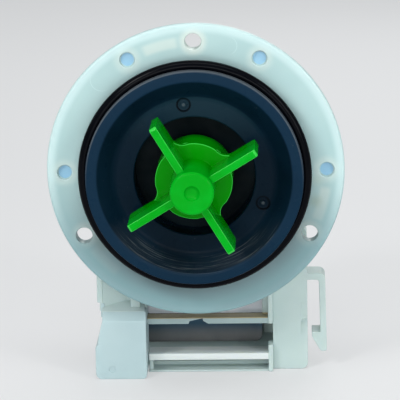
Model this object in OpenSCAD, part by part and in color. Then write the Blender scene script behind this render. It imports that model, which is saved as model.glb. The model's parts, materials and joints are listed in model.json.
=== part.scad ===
// Washer drain pump: a flange with a sealed dish, a four-bladed impeller on a
// magnet rotor, and a cradle that carries the U-shaped stator core and coils.
// Millimetres. Origin on the pump axis at the flange's front face.
// +Z is up, the pump opens towards -Y and the motor lies towards +Y.

/* [Flange] */
// Outer diameter of the mounting flange
flange_d = 96; // [94:0.5:104]
// Thickness of the flange plate
flange_t = 3; // [2.4:0.1:4]
// Rounding of the flange's outer edge
flange_edge_r = 0.9; // [0.3:0.1:1.1]
// Diameter of the circle that the holes lie on
hole_pcd = 84.4; // [84:0.1:86]
// Diameter of the three screw holes
screw_hole_d = 5.3; // [4.2:0.1:5.4]
// Diameter of the four blind pockets
pocket_d = 4.8; // [3.6:0.1:5]
// Skin left behind each blind pocket
pocket_skin = 0.7; // [0.4:0.1:1.2]
// Diameter of the boss behind each hole
boss_d = 7.4; // [6.6:0.1:8]
// Height of the bosses behind the plate
boss_h = 1.6; // [1:0.1:2.4]
// Arc length of the stiffening bar beside each screw hole, in degrees
bar_arc = 13; // [8:1:16]
// Angle from a screw hole to the middle of its bar
bar_lead = 12; // [10:1:20]
// Width of the stiffening bars
bar_w = 1.7; // [1:0.1:2]
// Wall of the collar behind the plate
collar_t = 1.6; // [1.2:0.1:1.8]

/* [Dish and rotor can] */
// Diameter of the spigot that enters the sump
spigot_d = 69.6; // [68:0.1:70]
// How far the spigot's rim stands in front of the flange
spigot_reach = 11.2; // [10.8:0.1:13]
// Width of the flat rim
rim_w = 3.6; // [2.5:0.1:4.2]
// Depth of the dish floor below the rim
dish_depth = 3.7; // [2.4:0.1:4]
// Radius at which the sloping wall meets the dish floor
dish_floor_r = 26; // [24:0.5:28]
// Diameter of the well round the impeller skirt
well_d = 39.4; // [37:0.2:41]
// Depth of the well below the dish floor
well_depth = 13.5; // [12.5:0.5:14.5]
// Wall of the dish and the well
cup_wall = 2; // [1.4:0.1:2.2]
// Step from the spigot to the pilot that fits the flange
pilot_step = 1.2; // [0.8:0.1:1.4]
// Width of the lip that seats behind the flange
lip_w = 1.4; // [1:0.1:1.6]
// Thickness of that lip
lip_t = 2; // [1.5:0.1:3]
// Inside diameter of the rotor can
can_bore = 26.4; // [26:0.1:27]
// Wall of the rotor can
can_wall = 1.5; // [1:0.1:1.8]
// Diameter of the moulding marks on the dish floor
mark_d = 3.4; // [2:0.1:4]

/* [Seal ring] */
// Thickness of the seal ring
seal_d = 3.5; // [3:0.1:4]
// Depth of the seal's groove
groove_depth = 0.9; // [0.6:0.1:1.1]
// Distance of the seal in front of the flange
seal_lead = 6.5; // [5.5:0.1:7.5]

/* [Impeller] */
// Diameter over the blade tips
impeller_d = 46.8; // [42:0.2:50]
// How far the hub stands in front of the flange
hub_reach = 31.5; // [30:0.5:34]
// Diameter of the hub
hub_d = 13.2; // [12:0.1:14]
// Diameter of the dimple in the hub
dimple_d = 4.8; // [3:0.1:6]
// Distance from the hub's face back to the blades
blade_setback = 3.3; // [2:0.1:5]
// Length of the blades along the axis
blade_len = 16; // [15:0.5:18]
// Thickness of the blades
blade_t = 1.8; // [1.4:0.1:2.4]
// Chamfer at the blade tips
blade_chamfer = 0.9; // [0.4:0.1:1.4]
// Turn of the first blade from level
blade_turn = 31; // [0:1:89]
// Diameter of the skirt behind the blades
skirt_d = 24.6; // [23.6:0.2:26]
// Length of the skirt
skirt_len = 13.5; // [12.5:0.1:14]
// Wall of the skirt
skirt_wall = 1.5; // [1:0.1:1.8]
// Fillet from the skirt into each blade
blade_fillet = 3; // [1.5:0.1:4]

/* [Lost-motion coupling] */
// Angle of the stop inside the skirt
stop_arc = 100; // [80:1:120]
// Angle of the dog on the shaft
dog_arc = 50; // [40:1:60]
// Angle of each rubber buffer on the dog
buffer_arc = 7; // [4:1:10]
// Thickness of the cover that closes the skirt
cover_t = 1.6; // [1.2:0.1:2]

/* [Rotor] */
// Diameter of the shaft
shaft_d = 4; // [3.6:0.1:4.4]
// Diameter of the magnet
magnet_d = 24.8; // [24:0.1:25]
// Length of the magnet
magnet_len = 24; // [22:0.5:26]
// Diameter of the sleeve moulded between shaft and magnet
sleeve_d = 8; // [7.4:0.1:9]
// Thickness of the sleeve's end flanges
sleeve_flange_t = 1.2; // [1:0.1:1.5]
// Thickness of the thrust washers
washer_t = 0.8; // [0.5:0.1:1]
// Diameter of the bearing bushes
bush_d = 10; // [9:0.1:11]
// Length of the front bearing bush
front_bush_len = 10; // [8:0.5:12]
// Length of the rear bearing bush
rear_bush_len = 6; // [5:0.5:8]
// Wall of the rubber cushion round the rear bush
cushion_wall = 3; // [2:0.1:3.5]
// Thickness of the bearing carrier's disc
carrier_t = 3; // [2.6:0.1:4]
// Length of the bearing carrier inside the rotor can
carrier_len = 18; // [16:0.5:18.5]

/* [Stator] */
// Distance from the flange face to the front of the core
core_y = 30; // [29.5:0.5:34]
// Thickness of the stack of laminations
core_stack = 22; // [20:0.5:24]
// Width of the core over its legs
core_w = 40.6; // [40:0.2:41.4]
// Height of the yoke that joins the legs
yoke_h = 14.2; // [12:0.1:16]
// Width of each leg
leg_w = 12.3; // [11:0.1:12.8]
// Rounding of the yoke's lower corners
core_corner_r = 2.6; // [1:0.1:4]
// Width over the two pole heads
pole_w = 43; // [42:0.5:44]
// Height of the pole heads
pole_h = 35; // [34:0.5:38]
// Gap between the two pole heads
pole_gap = 3.5; // [2:0.1:5]
// Thickness of the wound wire on each bobbin
coil_build = 4.1; // [3:0.1:4.3]
// Wall of the bobbins
bobbin_wall = 1; // [0.8:0.1:1.2]
// Thickness of the bobbin flanges
bobbin_flange_t = 1.2; // [1:0.1:2]
// How far the bobbin flanges stand past the tape
bobbin_lip = 0.6; // [0.4:0.1:1]
// Thickness of the tape round each coil
tape_t = 0.4; // [0.3:0.1:0.5]
// Length of the thermal cut-out
cutout_len = 14; // [10:0.5:18]
// Height of the thermal cut-out
cutout_h = 18; // [12:0.5:22]

/* [Cradle] */
// Distance from the pump axis down to the surface it stands on
base_drop = 71.5; // [70:0.5:78]
// Thickness of the shelf under the core
shelf_t = 5.1; // [4.8:0.1:5.6]
// Thickness of the shelf's deck above the channel in its front
deck_t = 0.9; // [0.7:0.1:1.4]
// Thickness of the foot plate below that channel
foot_t = 0.7; // [0.5:0.1:1.2]
// Depth of the channel
channel_depth = 5.5; // [3:0.5:8]
// Distance from the flange face to the front of the shelf
shelf_y = 11.5; // [11:0.5:13]
// How far the shelf's lip stands out in front of the shelf's ends
shelf_overhang = 1.5; // [0.8:0.1:2.5]
// How far the shelf's lip stands above the shelf
shelf_lip_h = 1.4; // [1:0.1:2.2]
// How far the shelf runs behind the core
shelf_tail = 4; // [3:0.5:6]
// Distance from the axis to the left side of the bay
bay_left = 17.6; // [17:0.1:18.5]
// Distance from the axis to the right side of the bay
bay_right = 24; // [23.4:0.1:25]
// Width of the right column
column_w = 11.6; // [10.5:0.1:13]
// Depth of the right column
column_depth = 8; // [7.5:0.5:8.5]
// Front plate of the right column
column_plate = 2.5; // [2:0.1:3]
// Distance from the flange face to the front of the right column
column_y = 14.5; // [14:0.5:15]
// Thickness of the side wall that runs back from the right column
side_wall_t = 1.5; // [1:0.1:2]
// Thickness of the thin wall beside the right column
end_wall_t = 1.5; // [1:0.1:2]
// Height of the lower half of that thin wall
end_wall_h = 9.3; // [8:0.1:12]
// Thickness of the crossbar
crossbar_t = 2.2; // [1.6:0.1:3]
// Depth of the crossbar
crossbar_depth = 6; // [4:0.5:7]
// Height of the crossbar's top above the base
crossbar_h = 18.8; // [18:0.2:20]
// Thickness of the ring that clamps the dish to the flange
ring_t = 5; // [4:0.5:5.5]
// Width of the left column
left_column_w = 16.2; // [15:0.1:17]
// Depth of the left column's ribs
left_rib_depth = 5; // [4:0.5:5]
// Back plate of the left column
left_plate = 2; // [1.5:0.1:2.5]
// Width of the snap tabs on the ring
tab_w = 6; // [4:0.5:8]
// Thickness of the snap tabs
tab_t = 2; // [1.5:0.1:2.5]
// Height of the cheeks that grip the yoke
cheek_h = 11; // [8:0.5:14]
// Thickness of the cheeks
cheek_t = 2; // [1.5:0.1:2.5]

/* [Terminal housing] */
// How far the housing reaches left of the axis
house_left = 34.5; // [34:0.1:36]
// Height of the housing
house_h = 22.6; // [22:0.1:23]
// Distance from the flange face to the front of the housing
house_y = 4.5; // [4:0.1:5]
// Depth of the housing
house_depth = 15.5; // [14.5:0.1:16]
// Wall of the housing
house_wall = 1.4; // [1.1:0.1:1.8]
// Bevel along the top of the front face
house_bevel = 2.6; // [1:0.1:3]
// Thickness of the block that holds the terminals
terminal_block_t = 4; // [3.4:0.1:6]
// Distance between the two terminals
terminal_pitch = 5; // [4.5:0.1:6]
// Width of the spade terminals
terminal_w = 6.3; // [4.8:0.1:6.5]
// Thickness of the spade terminals
terminal_t = 0.8; // [0.5:0.1:1]
// Length of the spade below the block
terminal_len = 10; // [8:0.5:12]
// Diameter of the leads from the coil
lead_d = 1.2; // [0.8:0.1:1.6]

/* [Cable clip] */
// Width of the cable slot
slot_w = 3.85; // [3.2:0.05:4.5]
// Distance from the axis down to the top of the bridge
bridge_drop = 38.4; // [37.5:0.1:40]
// Thickness of the bridge
bridge_t = 2.4; // [2:0.1:3]
// Thickness of the arm
arm_t = 2.1; // [1.6:0.1:2.6]
// Length of the arm below its root
arm_len = 22.5; // [20:0.5:26]
// How far the arm leans outwards over its length
arm_lean = 0.4; // [0:0.1:1]
// How far the hook reaches back towards the column
hook_reach = 2.85; // [1.5:0.05:3.2]
// Height of the hook
hook_h = 6.6; // [5:0.1:8]
// Height of the hook's upright face
hook_face = 1.5; // [1:0.1:3]

/* [Fits] */
// Gap between plastic pieces that slide together
fit_gap = 0.15; // [0.1:0.01:0.25]
// Radial gap of a pressed or glued seat
seat_gap = 0.02; // [0.01:0.01:0.05]
// Radial gap of the shaft in its bearings
run_gap = 0.04; // [0.02:0.01:0.08]
// Gap between pieces that turn past each other
turn_gap = 0.4; // [0.3:0.05:0.45]
// Gap between the core and the rotor can
core_gap = 0.3; // [0.2:0.05:0.5]
// Gap between the thermal cut-out and each coil
cutout_gap = 0.3; // [0.1:0.05:0.5]

/* [Hidden] */
$fn = 96;
// Overlap that makes a cut break cleanly through a face
cut = 1;
// Steps in each rounded corner of an outline
corner_steps = 6;

// Hole places round the flange, counted from +X as seen from the front
screw_angles = [90, 210, 330];
pocket_angles = [0, 60, 120, 180];
tab_angles = [45, 135, 225, 315];
mark_angles = [97.5, 217.5, 337.5];
blade_angles = [for (i = [0:3]) blade_turn + 90 * i];

// Radii of the dish and the flange
hole_r = hole_pcd / 2;
spigot_r = spigot_d / 2;
pilot_r = spigot_r + pilot_step;
lip_r = pilot_r + lip_w;
collar_in = lip_r + fit_gap;
collar_out = collar_in + collar_t;
collar_mid = collar_in + collar_t / 2;
groove_r = spigot_r - groove_depth;
groove_side = 0.2;
groove_half = seal_d / 2 + groove_side;
seal_r = groove_r + seat_gap + seal_d / 2;
rim_in = spigot_r - rim_w;
well_r = well_d / 2;
mark_inset = 2.5;
mark_r = dish_floor_r - mark_inset;
mark_depth = 0.3;
rim_edge_r = 0.6;
well_edge_r = 0.6;
floor_fillet = 1.5;
can_edge_r = 0.8;
can_r = can_bore / 2;
can_out = can_r + can_wall;

// Stations of the dish along the axis
rim_y = -spigot_reach;
floor_y = rim_y + dish_depth;
shoulder_y = floor_y + well_depth;
lip_y = flange_t;
ring_y = lip_y + lip_t;
ring_back = ring_y + ring_t;
collar_land = 1.2;
collar_back = ring_y + tab_t + collar_land;

// Stations of the rotor along the axis
shaft_r = shaft_d / 2;
bush_r = bush_d / 2;
magnet_r = magnet_d / 2;
sleeve_r = sleeve_d / 2;
core_back = core_y + core_stack;
core_mid = (core_y + core_back) / 2;
magnet_y = core_mid - magnet_len / 2;
magnet_back = core_mid + magnet_len / 2;
carrier_y = shoulder_y - carrier_t;
carrier_back = shoulder_y + carrier_len;
front_bush_y = carrier_back - front_bush_len;
sleeve_y = carrier_back + turn_gap + washer_t;
sleeve_back = magnet_back + sleeve_flange_t + washer_t;
rear_washer_back = sleeve_back + washer_t;
rear_bush_y = rear_washer_back + turn_gap;
rear_bush_back = rear_bush_y + rear_bush_len;
cushion_r = bush_r + cushion_wall;
tail_r = cushion_r + seat_gap;
can_step_y = rear_bush_y;
tail_back = rear_bush_back + can_wall;
washer_lip = 1;
washer_r = bush_r + washer_lip;
sleeve_inset = 1;
sleeve_flange_r = magnet_r - sleeve_inset;
carrier_web = 2.6;
shaft_room = 1;
seal_step = 0.5;
shaft_seal_r = bush_r + seal_step;
shaft_seal_inset = 0.6;

// Stations of the impeller along the axis
hub_r = hub_d / 2;
hub_draft = 0.4;
hub_root_r = hub_r + hub_draft;
hub_edge_r = 0.7;
hub_fillet = 1.2;
tip_r = impeller_d / 2;
skirt_r = skirt_d / 2;
chamber_r = skirt_r - skirt_wall;
hub_y = -hub_reach;
blade_y = hub_y + blade_setback;
blade_back = blade_y + blade_len;
blade_sink = 2.3;
skirt_y = blade_back - blade_sink;
skirt_back = skirt_y + skirt_len;
skirt_edge_r = 0.8;
fillet_sink = 0.2;
fillet_lead = 0.3;
skirt_face_t = 1.8;
chamber_y = skirt_y + skirt_face_t;
cover_y = skirt_back - cover_t;
dimple_r = dimple_d / 2;
dimple_depth = 0.9;
nose_t = 6;
nose_y = hub_y + nose_t;
dog_y = chamber_y + turn_gap;
dog_back = cover_y - turn_gap;
dog_ring_wall = 2.3;
dog_ring_r = shaft_r + dog_ring_wall;
dog_tip_r = chamber_r - turn_gap;
stop_in = dog_ring_r + turn_gap;
stop_mid = 90;
dog_mid = 270;

// Stator places across and up
core_half = core_w / 2;
leg_in = core_half - leg_w;
leg_mid = core_half - leg_w / 2;
base_z = -base_drop;
shelf_z = base_z + shelf_t;
yoke_top = shelf_z + yoke_h;
pole_z = pole_h / 2;
core_bore_r = can_out + core_gap;
bobbin_in = [leg_w + 2 * fit_gap, core_stack + 2 * fit_gap];
bobbin_out = [for (d = bobbin_in) d + 2 * bobbin_wall];
coil_in = [for (d = bobbin_out) d + 2 * seat_gap];
coil_out = [for (d = coil_in) d + 2 * coil_build];
tape_in = [for (d = coil_out) d + 2 * seat_gap];
tape_out = [for (d = tape_in) d + 2 * tape_t];
bobbin_rim = [for (d = tape_out) d + 2 * bobbin_lip];
bobbin_z = yoke_top;
bobbin_top = -pole_z - fit_gap;
coil_z = bobbin_z + bobbin_flange_t;
coil_top = bobbin_top - bobbin_flange_t;
coil_front = core_mid - tape_out[1] / 2;
cutout_z = (coil_z + coil_top) / 2;
cutout_half = leg_mid - tape_out[0] / 2 - cutout_gap;
bobbin_corner_r = 0.6;
bobbin_rim_r = 1.5;
bobbin_bore_r = 0.3;
coil_corner_r = 3;

// Cradle places
shelf_back = core_back + shelf_tail;
column_right = bay_right + column_w;
column_back = column_y + column_depth;
column_top = -22;
column_wall = 2;
column_foot_r = 2;
column_top_r = 3;
strike_wall = 3.6;
strike_w = 2.3;
strike_sink = 2.2;
strike_run = 6.1;
bracket_w = 7;
bracket_z = -30;
end_wall_top = -36;
crossbar_z = base_z + crossbar_h;
lip_seat = 1.5;
foot_inset = 0.5;
crossbar_inset = 0.5;
crossbar_y = shelf_y + crossbar_inset;
tongue = house_wall - fit_gap;
tongue_inset = 0.5;
tongue_y = shelf_y + shelf_overhang + tongue_inset;
tongue_w = 3;
tongue_lift = 1;
tongue_z = base_z + tongue_lift;
tongue_h = 2;
ring_root = 1;
left_column_y = ring_back - ring_root;
left_column_out = bay_left + left_column_w;
left_plate_y = left_column_y + left_rib_depth - left_plate;
left_column_top = -18;
left_rib_w = 4.6;
inner_rib_inset = 2;
inner_rib_w = 3.2;
inner_rib = [bay_left + inner_rib_inset, bay_left + inner_rib_inset + inner_rib_w];
left_step = 2.5;
// Break in the crossbar's lower edge: x, and height as a share of the bar's thickness
break_points = [[-4.1, 0], [-3.6, 0.45], [0.8, 0.92], [1, 0.5], [3.8, 0]];
shelf_wing = core_half + fit_gap + cheek_t;
cheek_lead = 1;
cheek_y = core_mid - cheek_lead;

// Terminal housing places
house_back = house_y + house_depth;
house_top = base_z + house_h;
house_front_top = house_top - house_bevel;
block_z = house_top - terminal_block_t;
house_mid = -(house_left + bay_left) / 2;
terminal_xs = [for (s = [-1, 1]) house_mid + s * terminal_pitch / 2];
terminal_setback = 3.5;
terminal_y = house_y + house_bevel + terminal_setback + terminal_w / 2;
house_corner_r = 2;
house_inner_r = 1.4;
house_top_r = 0.5;
flank_step = 1;
flank_lifts = [14, 12.3, 10.8];
flank_zs = [for (d = flank_lifts) base_z + d];
hook_tab_w = 1.2;
hook_tab_x = -left_column_out + left_step - fit_gap;
tail_w = 2;
tail_h = 2.2;
lead_inset = 4;
lead_pitch = 3;
lead_lift = 4;
lead_run = 5;
lead_bend_r = 1.5;
wire_sides = 10;
peg_r = 1.2;
peg_h = 1.6;
peg_inset = 2.9;
peg_xs = [-bay_left - peg_inset, house_mid];
peg_y = left_plate_y + left_plate / 2;

// Cable clip places
arm_x = column_right + slot_w;
arm_out = arm_x + arm_t;
bridge_z = -bridge_drop;
slot_top = bridge_z - bridge_t;
pivot = [arm_x + arm_t / 2, slot_top - arm_t];
arm_root_r = arm_t / 2;
arm_end_z = pivot[1] - arm_len;
hook_z = arm_end_z + hook_h;
hook_x = arm_x + arm_lean - hook_reach;
strike_lead = 3.9;
strike_z = hook_z + strike_lead;
clip_extra = 0.5;
clip_depth = column_depth + clip_extra;
bridge_corner_r = 2.2;
slot_corner_r = 0.8;
hook_edge_r = 0.4;
arm_end_r = 0.7;

// Points of an outline with its corners rounded: each point is [x, y] or [x, y, radius]
function unit(v) = v / norm(v);
function flat(p) = [p[0], p[1]];
function rounded_corner(before, at, after, r) =
    let (
        u = unit(before - at),
        v = unit(after - at),
        half = acos(max(-1, min(1, u * v))) / 2,
        centre = at + unit(u + v) * r / sin(half),
        from = at + u * r / tan(half) - centre,
        to = at + v * r / tan(half) - centre,
        start = atan2(from[1], from[0]),
        sweep = (atan2(to[1], to[0]) - start + 540) % 360 - 180
    )
    [for (i = [0:corner_steps])
        centre + r * [cos(start + sweep * i / corner_steps), sin(start + sweep * i / corner_steps)]];
function outline(points) =
    let (n = len(points))
    [for (i = [0:n - 1])
        each is_undef(points[i][2])
            ? [flat(points[i])]
            : rounded_corner(flat(points[(i + n - 1) % n]), flat(points[i]),
                flat(points[(i + 1) % n]), points[i][2])];

// Solids about the pump axis: a profile is given as [radius, y]
module turned() {
    rotate([-90, 0, 0]) rotate_extrude() children();
}

module rod(r, y0, y1) {
    translate([0, y0, 0]) rotate([-90, 0, 0]) cylinder(r = r, h = y1 - y0);
}

module tube(r_out, r_in, y0, y1) {
    difference() {
        rod(r_out, y0, y1);
        rod(r_in, y0 - cut, y1 + cut);
    }
}

// A front-view outline, drawn in x and z, made thick from y0 to y1
module slab(y0, y1) {
    translate([0, y1, 0]) rotate([90, 0, 0]) linear_extrude(y1 - y0) children();
}

// A ring segment about the pump axis
module segment(r0, r1, mid, arc, y0, y1) {
    translate([0, y1, 0]) rotate([90, 0, 0]) rotate([0, 0, mid - arc / 2])
        rotate_extrude(angle = arc) translate([r0, 0]) square([r1 - r0, y1 - y0]);
}

module at_angle(r, a) {
    translate([r * cos(a), 0, r * sin(a)]) children();
}

// A box given by its lowest and highest corners
module block(low, high) {
    translate(low) cube(high - low);
}

// A round wire swept along a route in an upright plane: each point is [along, z]
module wire(route, r) {
    n = len(route);
    points = [for (i = [0:n - 1])
        let (t = unit(route[min(i + 1, n - 1)] - route[max(i - 1, 0)]))
        for (j = [0:wire_sides - 1])
            let (a = 360 * j / wire_sides)
            [route[i][0] - r * cos(a) * t[1], r * sin(a), route[i][1] + r * cos(a) * t[0]]];
    sides = [for (i = [0:n - 2]) for (j = [0:wire_sides - 1])
        let (k = (j + 1) % wire_sides, low = i * wire_sides, high = low + wire_sides)
        each [[low + j, low + k, high + k], [low + j, high + k, high + j]]];
    polyhedron(points, concat(sides, [
        [for (j = [0:wire_sides - 1]) wire_sides - 1 - j],
        [for (j = [0:wire_sides - 1]) (n - 1) * wire_sides + j]
    ]));
}

// A rectangular sleeve about one core leg
module leg_sleeve(side, outer, inner, z0, z1, r_out, r_in) {
    translate([side * leg_mid, core_mid, z0]) linear_extrude(z1 - z0) difference() {
        polygon(rounded_rect(outer, r_out));
        polygon(rounded_rect(inner, r_in));
    }
}

function rounded_rect(size, r) =
    let (a = size[0] / 2, b = size[1] / 2)
    outline([[-a, -b, r], [a, -b, r], [a, b, r], [-a, b, r]]);

// Bosses behind the holes, and the bars beside the screw holes
module flange_bosses() {
    for (a = concat(screw_angles, pocket_angles))
        at_angle(hole_r, a) rod(boss_d / 2, flange_t / 2, flange_t + boss_h);
    for (a = screw_angles)
        segment(hole_r - bar_w / 2, hole_r + bar_w / 2, a + bar_lead, bar_arc,
            flange_t - seat_gap, flange_t + boss_h);
}

module mounting_flange() {
    color([0.8, 0.89, 0.9]) difference() {
        union() {
            turned() polygon(outline([
                [pilot_r + fit_gap, 0], [flange_d / 2, 0, flange_edge_r],
                [flange_d / 2, flange_t, flange_edge_r], [collar_out, flange_t],
                [collar_out, collar_back], [collar_in, collar_back],
                [collar_in, flange_t], [pilot_r + fit_gap, flange_t]
            ]));
            difference() {
                flange_bosses();
                rod(collar_mid, flange_t, flange_t + boss_h + cut);
            }
        }
        for (a = screw_angles)
            at_angle(hole_r, a) rod(screw_hole_d / 2, -cut, flange_t + boss_h + cut);
        for (a = pocket_angles)
            at_angle(hole_r, a) rod(pocket_d / 2, -cut, flange_t + boss_h - pocket_skin);
        for (a = tab_angles)
            rotate([0, -a, 0])
                block([collar_in - cut, ring_y - fit_gap, -tab_w / 2 - fit_gap],
                    [collar_out + cut, ring_y + tab_t + fit_gap, tab_w / 2 + fit_gap]);
    }
}

module seal_ring() {
    color([0.03, 0.03, 0.04]) turned() translate([seal_r, -seal_lead]) circle(r = seal_d / 2);
}

module chamber_cup() {
    back_y = floor_y + cup_wall;
    color([0.12, 0.18, 0.25]) difference() {
        turned() polygon(outline([
            [rim_in, rim_y, rim_edge_r], [spigot_r, rim_y, rim_edge_r],
            [spigot_r, -seal_lead - groove_half], [groove_r, -seal_lead - groove_half],
            [groove_r, -seal_lead + groove_half], [pilot_r, -seal_lead + groove_half],
            [pilot_r, lip_y], [lip_r, lip_y], [lip_r, ring_y],
            [groove_r - cup_wall, ring_y], [groove_r - cup_wall, rim_y + cup_wall],
            [rim_in, rim_y + cup_wall], [dish_floor_r, back_y],
            [well_r + cup_wall, back_y], [well_r + cup_wall, shoulder_y + cup_wall],
            [can_out, shoulder_y + cup_wall], [can_out, can_step_y + can_wall, can_edge_r],
            [tail_r + can_wall, can_step_y + can_wall], [tail_r + can_wall, tail_back, can_edge_r],
            [0, tail_back], [0, rear_bush_back], [tail_r, rear_bush_back],
            [tail_r, can_step_y], [can_r, can_step_y], [can_r, shoulder_y],
            [well_r, shoulder_y], [well_r, floor_y, well_edge_r], [dish_floor_r, floor_y, floor_fillet]
        ]));
        for (a = mark_angles)
            at_angle(mark_r, a) rod(mark_d / 2, floor_y - cut, floor_y + mark_depth);
    }
}

module bearing_carrier() {
    spigot = can_r - fit_gap;
    color([0.07, 0.07, 0.08]) turned() difference() {
        polygon([
            [0, carrier_y], [well_r - fit_gap, carrier_y], [well_r - fit_gap, shoulder_y],
            [spigot, shoulder_y], [spigot, carrier_back], [0, carrier_back]
        ]);
        translate([-cut, carrier_y - cut]) square([shaft_seal_r + cut, carrier_t + cut]);
        translate([-cut, shoulder_y - cut]) square([shaft_r + shaft_room + cut, carrier_len + 2 * cut]);
        translate([-cut, front_bush_y]) square([bush_r + cut, front_bush_len + cut]);
        translate([bush_r + cup_wall, shoulder_y + carrier_web])
            square([spigot - bush_r - 2 * cup_wall, carrier_len]);
    }
}

module shaft_seal() {
    color([0.05, 0.05, 0.05])
        tube(shaft_seal_r - seat_gap, shaft_r + run_gap, carrier_y + shaft_seal_inset, shoulder_y);
}

module front_bearing() {
    color([0.62, 0.5, 0.3]) tube(bush_r - seat_gap, shaft_r + run_gap, front_bush_y, carrier_back);
}

module front_thrust_washer() {
    color([0.85, 0.83, 0.75]) tube(washer_r, shaft_r + seat_gap, sleeve_y - washer_t, sleeve_y);
}

module rotor_shaft() {
    color([0.75, 0.77, 0.78]) rod(shaft_r, nose_y + turn_gap, rear_bush_back - turn_gap);
}

module rotor_sleeve() {
    color([0.2, 0.2, 0.22]) difference() {
        union() {
            rod(sleeve_r, sleeve_y, sleeve_back);
            rod(sleeve_flange_r, magnet_y - sleeve_flange_t, magnet_y);
            rod(sleeve_flange_r, magnet_back, magnet_back + sleeve_flange_t);
        }
        rod(shaft_r + seat_gap, sleeve_y - cut, sleeve_back + cut);
    }
}

module rotor_magnet() {
    color([0.22, 0.21, 0.2]) tube(magnet_r, sleeve_r + seat_gap, magnet_y, magnet_back);
}

module rear_thrust_washer() {
    color([0.85, 0.83, 0.75]) tube(washer_r, shaft_r + seat_gap, sleeve_back, rear_washer_back);
}

module rear_bearing() {
    color([0.62, 0.5, 0.3]) tube(bush_r - seat_gap, shaft_r + run_gap, rear_bush_y, rear_bush_back);
}

module rear_bearing_cushion() {
    color([0.06, 0.06, 0.06]) tube(cushion_r, bush_r, rear_bush_y, rear_bush_back);
}

module drive_dog() {
    color([0.85, 0.82, 0.72]) slab(dog_y, dog_back) difference() {
        union() {
            circle(r = dog_ring_r);
            intersection() {
                circle(r = dog_tip_r);
                polygon([[0, 0], for (s = [-1, 1])
                    2 * dog_tip_r * [cos(dog_mid + s * dog_arc / 2), sin(dog_mid + s * dog_arc / 2)]]);
            }
        }
        circle(r = shaft_r + seat_gap);
    }
}

module dog_buffers() {
    color([0.08, 0.08, 0.08])
        for (s = [-1, 1])
            segment(dog_ring_r + seat_gap, dog_tip_r, dog_mid + s * (dog_arc + buffer_arc) / 2,
                buffer_arc, dog_y, dog_back);
}

// One blade as a front-to-back plate along its own radius
module blade() {
    c = blade_chamfer;
    translate([0, 0, -blade_t / 2]) linear_extrude(blade_t) polygon([
        [0, blade_y], [tip_r - c, blade_y], [tip_r, blade_y + c], [tip_r, blade_back - 2 * c],
        [tip_r - c, blade_back], [0, blade_back]
    ]);
}

// Concave fillet between the skirt's edge and one flank of a blade
function fillet_points() =
    let (
        f = blade_fillet,
        h = blade_t / 2 + f,
        reach = skirt_r - fillet_sink + f,
        centre = [sqrt(reach * reach - h * h), h],
        end = 180 + asin(h / reach)
    )
    concat([[0, 0], [centre[0], 0]],
        [for (i = [0:corner_steps])
            let (a = 270 + (end - 270) * i / corner_steps) centre + f * [cos(a), sin(a)]]);

module impeller() {
    color([0.02, 0.62, 0.12]) {
        difference() {
            union() {
                turned() polygon(outline([
                    [0, hub_y], [hub_r, hub_y, hub_edge_r], [hub_root_r, skirt_y, hub_fillet],
                    [skirt_r, skirt_y, skirt_edge_r], [skirt_r, skirt_back], [0, skirt_back]
                ]));
                for (a = blade_angles) rotate([0, -a, 0]) {
                    blade();
                    for (s = [0, 1]) mirror([0, 0, s])
                        slab(skirt_y + fillet_lead, blade_back) polygon(fillet_points());
                }
            }
            rod(chamber_r, chamber_y, skirt_back + cut);
            rod(shaft_r + run_gap, nose_y, chamber_y + cut);
            rod(dimple_r, hub_y - cut, hub_y + dimple_depth);
        }
        segment(stop_in, chamber_r + seat_gap, stop_mid, stop_arc, chamber_y - seat_gap, cover_y);
    }
}

module coupling_cover() {
    color([0.02, 0.5, 0.1]) tube(chamber_r - seat_gap, shaft_r + turn_gap, cover_y, skirt_back);
}

module stator_core() {
    color([0.32, 0.36, 0.37]) slab(core_y, core_back) difference() {
        union() {
            polygon(outline([
                [-core_half, shelf_z, core_corner_r], [core_half, shelf_z, core_corner_r],
                [core_half, yoke_top], [-core_half, yoke_top]
            ]));
            for (s = [0, 1]) mirror([s, 0]) {
                translate([leg_in, yoke_top - cut]) square([leg_w, -pole_z - yoke_top + 2 * cut]);
                translate([pole_gap / 2, -pole_z]) square([(pole_w - pole_gap) / 2, pole_h]);
            }
        }
        circle(r = core_bore_r);
    }
}

module bobbin(side) {
    color([0.86, 0.84, 0.76]) {
        leg_sleeve(side, bobbin_out, bobbin_in, bobbin_z, bobbin_top, bobbin_corner_r, bobbin_bore_r);
        leg_sleeve(side, bobbin_rim, bobbin_in, bobbin_z, coil_z, bobbin_rim_r, bobbin_bore_r);
        leg_sleeve(side, bobbin_rim, bobbin_in, coil_top, bobbin_top, bobbin_rim_r, bobbin_bore_r);
    }
}

module winding(side) {
    color([0.72, 0.35, 0.16])
        leg_sleeve(side, coil_out, coil_in, coil_z, coil_top, coil_corner_r, bobbin_corner_r);
}

module coil_tape(side) {
    color([0.86, 0.78, 0.42])
        leg_sleeve(side, tape_out, tape_in, coil_z, coil_top, coil_corner_r, coil_corner_r);
}

module bobbin_left() { bobbin(-1); }
module bobbin_right() { bobbin(1); }
module winding_left() { winding(-1); }
module winding_right() { winding(1); }
module coil_tape_left() { coil_tape(-1); }
module coil_tape_right() { coil_tape(1); }

module thermal_cutout() {
    color([0.1, 0.1, 0.11])
        block([-cutout_half, core_mid - cutout_len / 2, cutout_z - cutout_h / 2],
            [cutout_half, core_mid + cutout_len / 2, cutout_z + cutout_h / 2]);
}

// Ring that clamps the dish's lip, with the snap tabs that lock into the collar
module frame_ring() {
    tube(lip_r, well_r + cup_wall + 2 * fit_gap, ring_y, ring_back);
    for (a = tab_angles)
        rotate([0, -a, 0])
            block([lip_r - cut, ring_y, -tab_w / 2], [collar_out - fit_gap, ring_y + tab_t, tab_w / 2]);
}

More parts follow.
